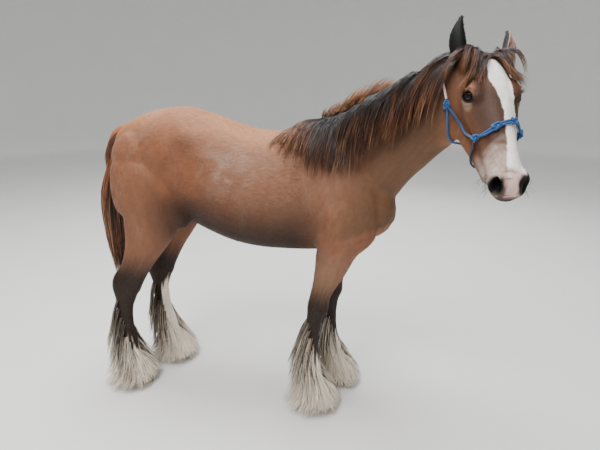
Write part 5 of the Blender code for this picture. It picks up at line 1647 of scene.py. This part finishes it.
def finish_hide(body):
    """Tints the hide by its markings and by painted shade in the nostrils and the mouth line, and stores the
    coordinates that its fine fur follows.
    """
    body.name = "hide"
    body.data.name = "hide"
    co = coordinates(body.data)
    lie = lie_of(co)
    colour = coat_colour(co)
    head = in_head(co)
    for side in (-1, 1):
        # Painted shade deep inside each nostril
        deep = lengths(head - (0.482, -0.050, side * 0.026))
        colour = mixed(colour, tone(9, 8, 8), ease(0.031, 0.020, deep))
        middle = eye_frame(side)[0]
        deep = lengths(co - middle)
        colour = mixed(colour, BLACK_SKIN, ease(EYE_RADIUS + 0.0016, EYE_RADIUS + 0.0004, deep))
    # Painted shade in the line of the mouth
    mouth_line_shade = ease(0.0035, 0.0015, np.abs(head[:, 1] + 0.089)) * ease(0.44, 0.46, head[:, 0])
    colour = mixed(colour, tone(14, 11, 11), mouth_line_shade * (region_of(co) == 2))
    paint_points(body.data, "tint", colour)
    grain = co - 0.86 * lie * np.sum(co * lie, axis=1)[:, None]
    paint_points(body.data, "grain", grain, "FLOAT_VECTOR")
    return settle_in_row(body, HIDE_LOOK)


def on_unwrap(co, region):
    """Each point's place on an unwrap of the hide: how far along its own part, and how far round it."""
    place = np.zeros((len(co), 2))
    x, y, z = co.T
    trunk = region == 0
    around = 0.5 + np.arctan2(y, z - 1.05) / (2 * math.pi)
    place[trunk] = np.stack([np.clip((x + 0.1) / 1.35, 0, 1), 0.5 * around], axis=1)[trunk]
    middles = neck_middles()
    neck = region == 1
    nearest = lengths(co[neck][:, None] - middles[None]).argmin(1)
    way = co[neck] - middles[nearest]
    around = 0.5 + np.arctan2(way[:, 1], way[:, 2]) / (2 * math.pi)
    place[neck] = np.stack([0.5 * nearest / len(middles), 0.5 + 0.25 * around], axis=1)
    head = in_head(co)
    around = 0.5 + np.arctan2(head[:, 2], head[:, 1] + 0.09) / (2 * math.pi)
    laid = np.stack([0.5 + 0.5 * np.clip((head[:, 0] + 0.05) / 0.6, 0, 1), 0.5 + 0.25 * around], axis=1)
    place[region == 2] = laid[region == 2]
    for number, corner in enumerate(FOOT_SHIFT):
        here = region == 3 + number
        way = near_leg(co[here], corner)
        around = 0.5 + np.arctan2(way[:, 1], way[:, 0]) / (2 * math.pi)
        level = 0.75 + 0.25 * np.clip(z[here] / 0.9, 0, 1)
        place[here] = np.stack([(number + 0.98 * around) / 4, level], axis=1)
    return place


def short_coat(name, body_mesh, regions, hand, count, length, width, seed):
    """Small tufts all over a part of the hide, which lie along the coat and rise a little from it.

    hand is 1 or -1 for the left or right half alone, and 0 for both.
    """
    dice = np.random.default_rng(SEED + seed)
    corners = body_mesh["corners"]
    middle = corners.mean(1)
    area = body_mesh["area"] * np.isin(body_mesh["region"], regions)
    area = area * np.where(body_mesh["bare"], 0, 1) * (middle[:, 1] * hand >= 0)
    chosen = dice.choice(len(area), count, p=area / area.sum())
    first, second = dice.uniform(size=(2, count, 1))
    over = first + second > 1
    first, second = np.where(over, 1 - first, first), np.where(over, 1 - second, second)
    tri = corners[chosen]
    root = tri[:, 0] + (tri[:, 1] - tri[:, 0]) * first + (tri[:, 2] - tri[:, 0]) * second
    up = body_mesh["normal"][chosen]
    lie = body_mesh["lie"][chosen] + dice.normal(scale=0.09, size=(count, 3))
    lie -= up * np.sum(lie * up, axis=1)[:, None]
    lie /= np.maximum(lengths(lie), 1e-6)[:, None]
    across = np.cross(lie, up)
    near_neck = 1 + 0.8 * ease(0.14, 0.0, in_head(root)[:, 0]) * np.isin(region_of(root), [2])
    long = (length * near_neck * dice.uniform(0.6, 1.15, count))[:, None]
    wide = (width * near_neck * dice.uniform(0.6, 1.1, count))[:, None]
    rise = (0.05 + 0.06 * dice.uniform(size=count))[:, None]
    base = root - up * 0.0006
    points = np.stack([
        base - across * wide,
        base + up * wide * 0.9,
        base + across * wide,
        base + lie * long + up * (long * rise + 0.0006),
    ], axis=1)
    faces = np.array([(0, 1, 3), (1, 2, 3), (2, 0, 3), (0, 2, 1)])
    faces = (np.arange(count) * 4)[:, None, None] + faces[None]
    made = mesh_from(name, points.reshape(-1, 3), faces.reshape(-1, 3))
    # Each tuft is shaded nearly as the skin under it is, so the coat stays sleek
    shading = [up - 0.3 * across, up - 0.1 * lie, up + 0.3 * across, up + 0.1 * lie]
    shading = np.stack(shading, axis=1).reshape(-1, 3)
    made.data.normals_split_custom_set_from_vertices(shading / lengths(shading)[:, None])
    tint = coat_colour(root) * dice.uniform(0.78, 1.14, count)[:, None]
    tint = np.repeat(tint[:, None], 4, axis=1) * np.array([0.90, 0.96, 0.90, 1.06])[None, :, None]
    paint_points(made.data, "tint", tint.reshape(-1, 3))
    spot = on_unwrap(root, region_of(root)) * (1 - PATCH)
    patch = PATCH * np.array([(0, 0), (0.5, 0), (1, 0), (0.5, 1)])
    lay_uv(made.data, (spot[:, None] + patch[None]).reshape(-1, 2))
    return settle_in_row(made, FUR_LOOK)


def measure(body):
    """The triangles of the hide, with what the short coat needs to know of each."""
    mesh = body.data
    mesh.calc_loop_triangles()
    tris = np.empty(len(mesh.loop_triangles) * 3, np.int32)
    mesh.loop_triangles.foreach_get("vertices", tris)
    corners = coordinates(mesh)[tris.reshape(-1, 3)]
    cross = np.cross(corners[:, 1] - corners[:, 0], corners[:, 2] - corners[:, 0])
    size = lengths(cross)
    middle = corners.mean(1)
    head = in_head(middle)
    nose = (head[:, 0] > 0.46) & (region_of(middle) == 2)
    bare = nose | (np.min([lengths(middle - eye_frame(s)[0]) for s in (-1, 1)], axis=0) < 0.0262)
    bare |= middle[:, 2] < 0.10
    return {
        "corners": corners, "area": size / 2, "normal": cross / np.maximum(size, 1e-12)[:, None],
        "region": region_of(middle), "lie": lie_of(middle), "bare": bare,
    }


def ear_path(side):
    """Points up the middle of an ear, from its root to its tip, in the head's own frame."""
    right = side > 0
    root = np.array((0.018, -0.022, side * (0.086 if right else 0.066)))
    lean = np.array((-0.130, 0.075, 0.000)) if right else np.array((-0.150, -0.024, -0.038))
    bow = np.array((-0.006, -0.008, 0.010)) if right else np.array((0.0, 0.010, -0.010))
    lean *= EAR_LENGTH * (RIGHT_EAR_SHORTER if right else 1) / np.linalg.norm(lean)
    return [root + lean * t + bow * math.sin(math.pi * t) for t in EAR_STATIONS]


def ear_sections(side, inner=False):
    """Rings up an ear, and the middle, front and side directions of each."""
    points = [on_head(*p) for p in ear_path(side)]
    opening = EAR_OPENING[side]
    a, b, c = head_axes()
    faces = opening[0] * a + opening[1] * b + opening[2] * c
    halves = catmull_rom(EAR_HALF_WIDTHS, 8)
    rings = []
    for i, point in enumerate(points):
        half = np.interp(EAR_STATIONS[i], halves[:, 0], halves[:, 1]) - COAT_DEPTH * 0.3
        up = unit(points[min(i + 1, len(points) - 1)] - points[max(i - 1, 0)])
        front = unit(faces - up * (faces @ up))
        across = np.cross(up, front)
        deep = 0.75 * half
        if inner:
            wide, ahead, depth = half - EAR_WALL, 0.5 * deep, 1.5 * deep - EAR_WALL
        else:
            wide, ahead, depth = half, 0.0, deep
        ring = oval(point + front * ahead, across * wide, front * depth, sides=36)
        rings.append((point, front, across, up, half, ring))
    return rings[2:-2] if inner else rings


def ear(name):
    """A thin-walled ear with its cup, dark edges and the hair that grows inside."""
    side = 1 if name.endswith("right") else -1
    sections = ear_sections(side)
    shell = lofted(name + "_shell", [ring for *_, ring in sections])
    cups = new_collection("cups")
    lofted("cup", [ring for *_, ring in ear_sections(side, inner=True)], cups)
    cut_out(shell, cups)
    smooth(shell, 50)
    refine(shell, np.ones(len(shell.data.vertices), bool))
    smooth(shell, 50)
    co = coordinates(shell.data)
    axis = np.array([point for point, *_ in sections])
    nearest = lengths(co[:, None] - axis[None]).argmin(1)
    fronts = np.array([front for _, front, *_ in sections])
    halves = np.array([half for *_, half, _ in sections])
    ahead = np.sum((co - axis[nearest]) * fronts[nearest], axis=1) / halves[nearest]
    high = nearest / (len(sections) - 1)
    within = lengths(co - axis[nearest]) < halves[nearest] * 0.74
    back = mixed(tone(78, 52, 38), tone(4, 4, 5), ease(0.06, 0.26, high))
    # The near ear's lining is painted dark as shade, the far ear's pale as lit
    lining_with_painted_light = tone(26, 21, 22) if side > 0 else tone(176, 142, 132)
    cup_tint = mixed(lining_with_painted_light, tone(72, 52, 44), ease(0.4, 0.0, high))
    found = np.where((within | (ahead > 0.30))[:, None], cup_tint, back)
    found = mixed(found, tone(8, 7, 8), ease(0.74, 0.94, high))
    paint_points(shell.data, "tint", found)
    paint_points(shell.data, "grain", co * (1, 1, 0.3), "FLOAT_VECTOR")
    settle_in_row(shell, HIDE_LOOK)
    hair = Hair(20 + side)
    dice = hair.dice
    for _ in range(110):
        k = int(dice.uniform(0, 9.5))
        point, front, across, up, half, _ = sections[k + 1]
        turn = dice.uniform(-1.25, 1.25)
        edge = across * math.sin(turn) * (half - EAR_WALL * 0.7) * 0.95 - front * math.cos(turn) * half * 0.10
        heading = up * 0.8 + front * 0.55 - across * math.sin(turn) * 0.55
        long = dice.uniform(0.018, 0.034) * (1 - 0.45 * k / 10)
        points = [point + edge + heading * long * s for s in (0, 0.35, 0.7, 1.0)]
        path, outs, t = hair.comb_beside(points, [front] * 4, 6, 4, 0.003, 0.005, 0.002, 0.6, 0.002)
        # The hair in the near ear is painted dark as shade, in the far ear pale as lit
        pale = tone(30, 24, 24) if side > 0 else tone(190, 160, 142)
        tint = strand_tints(dice, lining_with_painted_light, pale, 6, t, 0.3)
        hair.add(path, outs, 0.0005, tint, (0.5 + 0.35 * math.sin(turn), k / 11))
    edge_hair(hair, sections, dice)
    return shell, hair.piece(name + "_hair", HAIR_LOOK)


def edge_hair(hair, sections, dice):
    """Short hair along both edges and round the root of an ear."""
    for _ in range(110):
        k = int(dice.uniform(0, len(sections) - 2))
        point, front, across, up, half, _ = sections[k]
        hand = dice.choice((-1, 1))
        root = point + across * hand * half * 0.93 + front * half * dice.uniform(-0.3, 0.3)
        heading = up * 1.0 + across * hand * 0.04
        long = dice.uniform(0.006, 0.011)
        points = [root + heading * long * s for s in (0, 0.5, 1.0)]
        path, outs, t = hair.comb_beside(points, [across * hand] * 3, 4, 4, 0.002, 0.002, 0.001, 0.6, 0.001)
        shade = tone(100, 70, 54) if k < 3 else tone(22, 18, 20)
        tint = strand_tints(dice, shade, shade * 1.5, 4, t, 0.3)
        hair.add(path, outs, 0.0003, tint, (0.5 + 0.4 * hand, k / 13))
    point, front, across, up, half, _ = sections[0]
    for _ in range(120):
        turn = dice.uniform(0, 2 * math.pi)
        away = across * math.cos(turn) + front * 0.75 * math.sin(turn)
        root = point + away * half * 1.02 - up * 0.006
        heading = up * 1.0 + away * 0.25
        long = dice.uniform(0.016, 0.030)
        points = [root + heading * long * s for s in (0, 0.5, 1.0)]
        path, outs, t = hair.comb_beside(points, [away] * 3, 5, 4, 0.003, 0.004, 0.002, 0.6, 0.002)
        tint = strand_tints(dice, tone(92, 62, 46), tone(140, 98, 70), 5, t, 0.3)
        hair.add(path, outs, 0.0006, tint, (0.5 + 0.4 * math.cos(turn), 0.02))


def eye(name):
    """The eyeball with a raised cornea. Its look reads where each point lies in the eye's own frame."""
    side = 1 if name.endswith("right") else -1
    middle, along, over, out = eye_frame(side)
    ball = Flesh()
    bmesh.ops.create_uvsphere(ball.mesh, u_segments=64, v_segments=48, radius=1.0)
    made = ball.object(name + "_ball")
    local = units(coordinates(made.data))
    paint_points(made.data, "gaze", local, "FLOAT_VECTOR")
    bulge = 1 + 0.012 * ease(0.60, 0.85, local[:, 2])
    placed = (local * bulge[:, None] * EYE_RADIUS * 0.985) @ np.array([along, over, out]) + middle
    move_points(made.data, placed)
    if np.linalg.det(np.array([along, over, out])) < 0:
        made.data.flip_normals()
    smooth(made)
    return settle_in_row(made, WET_EYE)


def ring_tube(name, path, radii, sides):
    """A round tube along a closed path."""
    ahead = units(np.roll(path, -1, axis=0) - np.roll(path, 1, axis=0))
    across = unit(np.cross(ahead[0], (0.3, 0.2, 0.93)))
    turn = ring_angles(sides)
    rings = []
    for point, way, radius in zip(path, ahead, radii):
        across = unit(across - way * (across @ way))
        other = np.cross(way, across)
        rings.append(point + radius * (np.outer(np.cos(turn), across) + np.outer(np.sin(turn), other)))
    i = np.arange(len(path))[:, None] * sides
    j = np.arange(sides)[None]
    k = (j + 1) % sides
    up = (i + sides) % (len(path) * sides)
    quads = np.stack([i + j, i + k, up + k, up + j], axis=-1).reshape(-1, 4)
    return mesh_from(name, np.concatenate(rings), quads)


def joined(objects, name):
    """Several meshes as one object."""
    work = bmesh.new()
    for obj in objects:
        work.from_mesh(obj.data)
        data = obj.data
        bpy.data.objects.remove(obj)
        bpy.data.meshes.remove(data)
    mesh = bpy.data.meshes.new(name)
    work.to_mesh(mesh)
    work.free()
    return add_object(name, mesh)


def lid_rims():
    """The moist black edges of the lids."""
    rims = []
    for side in (-1, 1):
        middle, along, over, out = eye_frame(side)
        long, high = EYE_OPENING
        ring = oval(np.zeros(3), np.array((long, 0, 0)), np.array((0, high, 0)), square=1.2, sides=64)
        far = np.sqrt(np.maximum(EYE_RADIUS**2 - ring[:, 0] ** 2 - ring[:, 1] ** 2, (0.30 * EYE_RADIUS) ** 2))
        path = np.stack([ring[:, 0], ring[:, 1], far], axis=1)
        path *= ((EYE_RADIUS + 0.0012) / lengths(path))[:, None]
        path = path @ np.array([along, over, out]) + middle
        upper = ring[:, 1] > 0
        rims.append(ring_tube("rim", path, np.where(upper, *LID_RIMS), 10))
    made = joined(rims, "lid_rims")
    smooth(made)
    return settle_in_row(made, RIM_LOOK)


def lashes_and_whiskers():
    """Lashes on the upper lids, and long stiff hairs round the nostrils and chin."""
    hair = Hair(30)
    dice = hair.dice
    for side in (-1, 1):
        middle, along, over, out = eye_frame(side)
        for i in range(64):
            x = dice.uniform(-0.85, 0.80)
            arc = EYE_OPENING[1] * (1 - abs(x) ** 2.2) + 0.001
            root = middle + along * x * EYE_OPENING[0] + over * arc
            root = middle + unit(root - middle + out * 0.015) * (EYE_RADIUS + 0.0018)
            heading = out * 0.9 + over * (0.15 + 0.5 * (i % 2)) + along * (0.25 * x - 0.15)
            long = dice.uniform(0.010, 0.017)
            points = [root + heading * long * s - over * 0.004 * s * s for s in (0, 0.35, 0.7, 1.0)]
            path, outs, t = hair.comb_beside(points, [over] * 4, 2, 6, 0.0006, 0.0012, 0.0, 0.8, 0.0)
            tint = strand_tints(dice, BLACK_SKIN, BLACK_SKIN, 2, t)
            hair.add(path, outs, WHISKER, tint, (0.5 + 0.4 * side * x, 0.2))
        for _ in range(34):
            u, v = dice.uniform(0.430, 0.520), dice.uniform(-0.135, -0.030)
            place = Vector(on_head(u, v, side * 0.12))
            spot, normal, _, _ = HIDE_TREE.find_nearest(place)
            long = dice.uniform(0.012, 0.032)
            heading = normal * 0.9 + Vector((0, 0, -0.5)) + Vector(dice.normal(scale=0.2, size=3))
            sag = Vector((0, 0, -0.012))
            points = [spot + heading * long * s + sag * s * s for s in (-0.05, 0.3, 0.65, 1.0)]
            path, outs, t = hair.comb_beside(points, [Vector((0, 0, 1))] * 4, 1, 6, 0, 0, 0, 0.9, 0.0)
            tint = strand_tints(dice, MANE_DARK, MANE_BROWN, 1, t)
            hair.add(path, outs, WHISKER, tint, (0.5 + 0.4 * side, 0.7))
    return hair.piece("lashes_and_whiskers", HAIR_LOOK)


def hoof(corner):
    """A hoof from the floor to its coronet, which slopes down to the heel."""
    foot = leg_point(corner, CORONET_HEIGHT)
    slope = math.tan(math.radians(CORONET_SLOPE))
    rings = []
    for share, toe, half_length, half_width in catmull_rom(HOOF_RINGS, 3):
        middle = np.array((foot[0] + toe, foot[1], share * CORONET_HEIGHT))
        across, ahead = np.array((0, half_width, 0)), np.array((half_length, 0, 0))
        ring = oval(middle, across, ahead, square=0.85, sides=56)
        heel = np.clip(-(ring[:, 0] - middle[0]) / half_length - 0.55, 0, 1)
        cleft = np.exp(-((ring[:, 1] - middle[1]) / 0.010) ** 2)
        ring[:, 0] += 0.012 * heel * cleft * 2
        ring[:, 2] = np.maximum(0, ring[:, 2] + share * slope * (ring[:, 0] - foot[0]))
        rings.append(ring)
    made = lofted("hoof_" + corner + "_horn", rings)
    smooth(made, 40)
    return settle_in_row(made, HOOF_LOOK)


def rope_tree():
    """Sweeps a round profile along a line and stores how far along and how far round each point is."""
    tree = bpy.data.node_groups.new("rope_along_line", "GeometryNodeTree")
    face = tree.interface
    inputs = [("Geometry", "Geometry"), ("Radius", "Float"), ("Sides", "Int"), ("Step", "Float"),
              ("Material", "Material")]
    for name, kind in inputs:
        face.new_socket(name, in_out="INPUT", socket_type="NodeSocket" + kind)
    face.new_socket("Geometry", in_out="OUTPUT", socket_type="NodeSocketGeometry")

    def add(kind, links=None, **settings):
        made = tree.nodes.new(kind)
        for key, value in settings.items():
            setattr(made, key, value)
        for socket, source in (links or {}).items():
            tree.links.new(source, made.inputs[socket])
        return made

    given = add("NodeGroupInput").outputs
    line = add("GeometryNodeMeshToCurve", {0: given["Geometry"]}).outputs[0]
    even = add("GeometryNodeResampleCurve", {"Curve": line}, mode="LENGTH")
    tree.links.new(given["Step"], even.inputs["Length"])
    size = {"Resolution": given["Sides"], "Radius": given["Radius"]}
    profile = add("GeometryNodeCurvePrimitiveCircle", size)
    kept = []
    for source, field in ((even, "Length"), (profile, "Factor")):
        hold = add("GeometryNodeCaptureAttribute", {"Geometry": source.outputs[0]})
        hold.capture_items.new("FLOAT", field)
        tree.links.new(add("GeometryNodeSplineParameter").outputs[field], hold.inputs[1])
        kept.append(hold)
    sweep = add("GeometryNodeCurveToMesh", {"Curve": kept[0].outputs[0], "Profile Curve": kept[1].outputs[0]})
    sweep.inputs["Fill Caps"].default_value = True
    last = sweep.outputs[0]
    for name, hold in (("along", kept[0]), ("around", kept[1])):
        links = {"Geometry": last, "Value": hold.outputs[1]}
        store = add("GeometryNodeStoreNamedAttribute", links, data_type="FLOAT", domain="POINT")
        store.inputs["Name"].default_value = name
        last = store.outputs[0]
    shade = add("GeometryNodeSetShadeSmooth", {0: last})
    real = add("GeometryNodeRealizeInstances", {0: shade.outputs[0]})
    paint = add("GeometryNodeSetMaterial", {"Geometry": real.outputs[0], "Material": given["Material"]})
    add("NodeGroupOutput", {0: paint.outputs[0]})
    return tree


def along_line(name, path):
    """A rope along a line, as a plain mesh."""
    mesh = bpy.data.meshes.new(name)
    mesh.from_pydata([tuple(p) for p in path], [(i, i + 1) for i in range(len(path) - 1)], [])
    obj = add_object(name, mesh)
    sweep = obj.modifiers.new("sweep", "NODES")
    sweep.node_group = ROPE_TREE
    ids = {item.name: item.identifier for item in ROPE_TREE.interface.items_tree if item.in_out == "INPUT"}
    given = {"Radius": ROPE_RADIUS, "Sides": ROPE_SIDES, "Step": ROPE_STRIDE, "Material": ROPE_LOOK}
    for socket, value in given.items():
        sweep[ids[socket]] = value
    apply_modifiers(obj)
    return obj


def rope_line(name):
    """The line that one run of the halter follows over the hide, and which of its points are knots."""
    points, knots = ROPES[name]
    laid = []
    for place in catmull_rom(points, ROPE_STEPS):
        spot, normal, _, _ = WORN_TREE.find_nearest(Vector(on_head(*place)))
        laid.append(spot + normal * (ROPE_RADIUS + ROPE_LIFT))
    clear_of_hide(laid)
    return laid, [laid[k * ROPE_STEPS].copy() for k in knots]


def ahead_on(line, i):
    return line[min(i + 1, len(line) - 1)] - line[max(i - 1, 0)]


def knot_line(middle, ahead, out):
    """A threefold knot, laid flat against the hide."""
    ahead = Vector(ahead).normalized()
    out = (Vector(out) - ahead * Vector(out).dot(ahead)).normalized()
    across = out.cross(ahead)
    found = []
    for t in np.linspace(0, 2 * math.pi, KNOT_POINTS):
        wide = 2 + math.cos(3 * t)
        x, y, z = wide * math.cos(2 * t), wide * math.sin(2 * t), math.sin(3 * t)
        found.append(Vector(middle) + (ahead * x * 1.05 + across * y * 0.85 + out * z) * KNOT_SIZE)
    return found


def halter():
    """Every run of the rope with its knots. The noseband is laid double."""
    pieces = []
    for name in ROPES:
        line, knots = rope_line(name)
        parts = []
        if name == "halter_noseband":
            for hand in (-1, 1):
                beside = []
                for i, place in enumerate(line):
                    _, normal, _, _ = WORN_TREE.find_nearest(place)
                    across = ahead_on(line, i).cross(normal).normalized()
                    share = i / (len(line) - 1)
                    pull = min(1.0, 6 * share, 6 * (1 - share))
                    beside.append(place + across * hand * ROPE_RADIUS * 1.02 * pull)
                parts.append(along_line("run", beside))
        else:
            parts.append(along_line("run", line))
        for place in knots:
            _, normal, _, _ = WORN_TREE.find_nearest(place)
            nearest = min(range(len(line)), key=lambda k: (line[k] - place).length)
            knot = knot_line(place + normal * KNOT_LIFT, ahead_on(line, nearest), normal)
            parts.append(along_line("knot", knot))
        made = joined(parts, name + "_rope")
        smooth(made)
        if name == "halter_crown":
            made.data.materials.clear()
            made.data.materials.append(ROPE_LOOK)
            made.data.materials.append(ROPE_HIGHLIGHT_LOOK)
            painted_highlight_stretch(made)
            settle_in_row(made)
        else:
            # The run under the jaw gets the rope painted darker, as shade
            settle_in_row(made, SHADED_ROPE_LOOK if name == "halter_chin" else ROPE_LOOK)
        pieces.append((made, name))
    return pieces


def painted_highlight_stretch(made):
    """A short length above the knot on the near cheek, painted pale as a highlight."""
    co = coordinates(made.data)
    head = in_head(np.array([co[list(p.vertices)].mean(0) for p in made.data.polygons]))
    pale = (head[:, 0] > 0.078) & (head[:, 0] < 0.132) & (head[:, 2] > 0.08)
    made.data.polygons.foreach_set("material_index", pale.astype(np.int32))


def stage():
    """A plain pale floor under soft studio light."""
    count = FLOOR_SIDES
    turn = ring_angles(count)
    line = catmull_rom(SWEEP, 6)
    rings = [np.stack([r * np.cos(turn), r * np.sin(turn), np.full(count, z)], axis=1) for r, z in line]
    i, j = np.arange(len(line) - 1)[:, None] * count, np.arange(count)[None]
    k = (j + 1) % count
    quads = np.stack([i + j, i + j + count, i + k + count, i + k], axis=-1).reshape(-1, 4)
    floor = mesh_from("floor", np.concatenate(rings), [quads, np.arange(count)[None]])
    floor.data.materials.append(floor_look())
    world = bpy.data.worlds.new("studio")
    world.use_nodes = True
    sky = world.node_tree.nodes["Background"]
    sky.inputs[0].default_value = (*tone(226, 230, 236), 1)
    sky.inputs[1].default_value = SKY
    bpy.context.scene.world = world
    middle = Vector(STUDIO_MIDDLE) + SHIFT
    for name, place, size, power, colour in LIGHTS:
        lamp = bpy.data.lights.new(name, "AREA")
        lamp.size = size
        lamp.energy = power
        lamp.color = colour
        light = bpy.data.objects.new(name, lamp)
        light.location = middle + Vector(place)
        light.rotation_euler = (-Vector(place)).to_track_quat("-Z", "Y").to_euler()
        bpy.context.scene.collection.objects.link(light)


def camera():
    lens = bpy.data.cameras.new("camera")
    lens.lens = CAMERA_LENS
    lens.sensor_width = CAMERA_SENSOR
    lens.clip_end = 100
    made = bpy.data.objects.new("camera", lens)
    made.location = Vector(CAMERA_PLACE) + SHIFT
    made.rotation_euler = (math.radians(CAMERA_TILT), 0, math.radians(CAMERA_TURN))
    bpy.context.scene.collection.objects.link(made)
    bpy.context.scene.camera = made


def shift_to_row():
    """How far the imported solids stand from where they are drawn."""
    low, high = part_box("hoof_hind_right")
    foot = leg_point("hind_right", CORONET_HEIGHT)
    return Vector(((low.x + high.x) / 2 - foot.x - HOOF_TOE, (low.y + high.y) / 2 - foot.y, low.z))


HORSE = new_collection("horse")
SHIFT = shift_to_row()
camera()
stage()
HIDE_LOOK = hide_look()
HAIR_LOOK = hair_look("long_hair")
MANE_LOOK = hair_look("mane_hair", 0.27, 0.02)
FEATHER_LOOK = hair_look("feather_hair", 0.5, 0.08)
FUR_LOOK = hair_look("short_fur", 0.46, 0.04)
RIM_LOOK = bare_skin_look()
WET_EYE = eye_look()
HOOF_LOOK = hoof_look()
ROPE_LOOK = rope_look("blue_rope", tone(4, 48, 108), tone(14, 104, 168))
# The blue rope painted darker, as the shade under the jaw
SHADED_ROPE_LOOK = rope_look("rope_painted_shade", tone(10, 22, 48), tone(20, 48, 84))
# The rope painted pale, as a highlight
ROPE_HIGHLIGHT_LOOK = rope_look("rope_painted_highlight", tone(226, 190, 184), tone(240, 214, 206))
ROPE_TREE = rope_tree()
body, WORN_TREE = hide()
HIDE_TREE = tree_from(body)
skin_facts = measure(body)
for name, *facts in COATS:
    wear(short_coat(name, skin_facts, *facts), "bay_coat")
for name in ("ear_right", "ear_left"):
    shell, inner_hair = ear(name)
    wear(shell, "dark_hair", name)
    wear(inner_hair, "dark_hair")
wear(mane(), "dark_hair")
wear(mane_fan(), "dark_hair")
wear(forelock(), "dark_hair")
wear(tail_dock(), "dark_hair", "tail")
wear(tail_hair(), "dark_hair", "tail")
for corner in FOOT_SHIFT:
    wear(feather(corner), "feather_hair")
for name in ("eye_right", "eye_left"):
    wear(eye(name), "eye", name)
wear(lid_rims(), "eye")
wear(lashes_and_whiskers(), "dark_hair")
for corner in FOOT_SHIFT:
    wear(hoof(corner), "hoof", "hoof_" + corner)
for made, node in halter():
    wear(made, "halter_rope", node)
finish_hide(body)
flesh = ["head", "neck", "torso"]
flesh += [f"{corner}_{part}" for corner in FOOT_SHIFT for part in ("upper", "lower")]
wear(body, "bay_coat", *flesh)
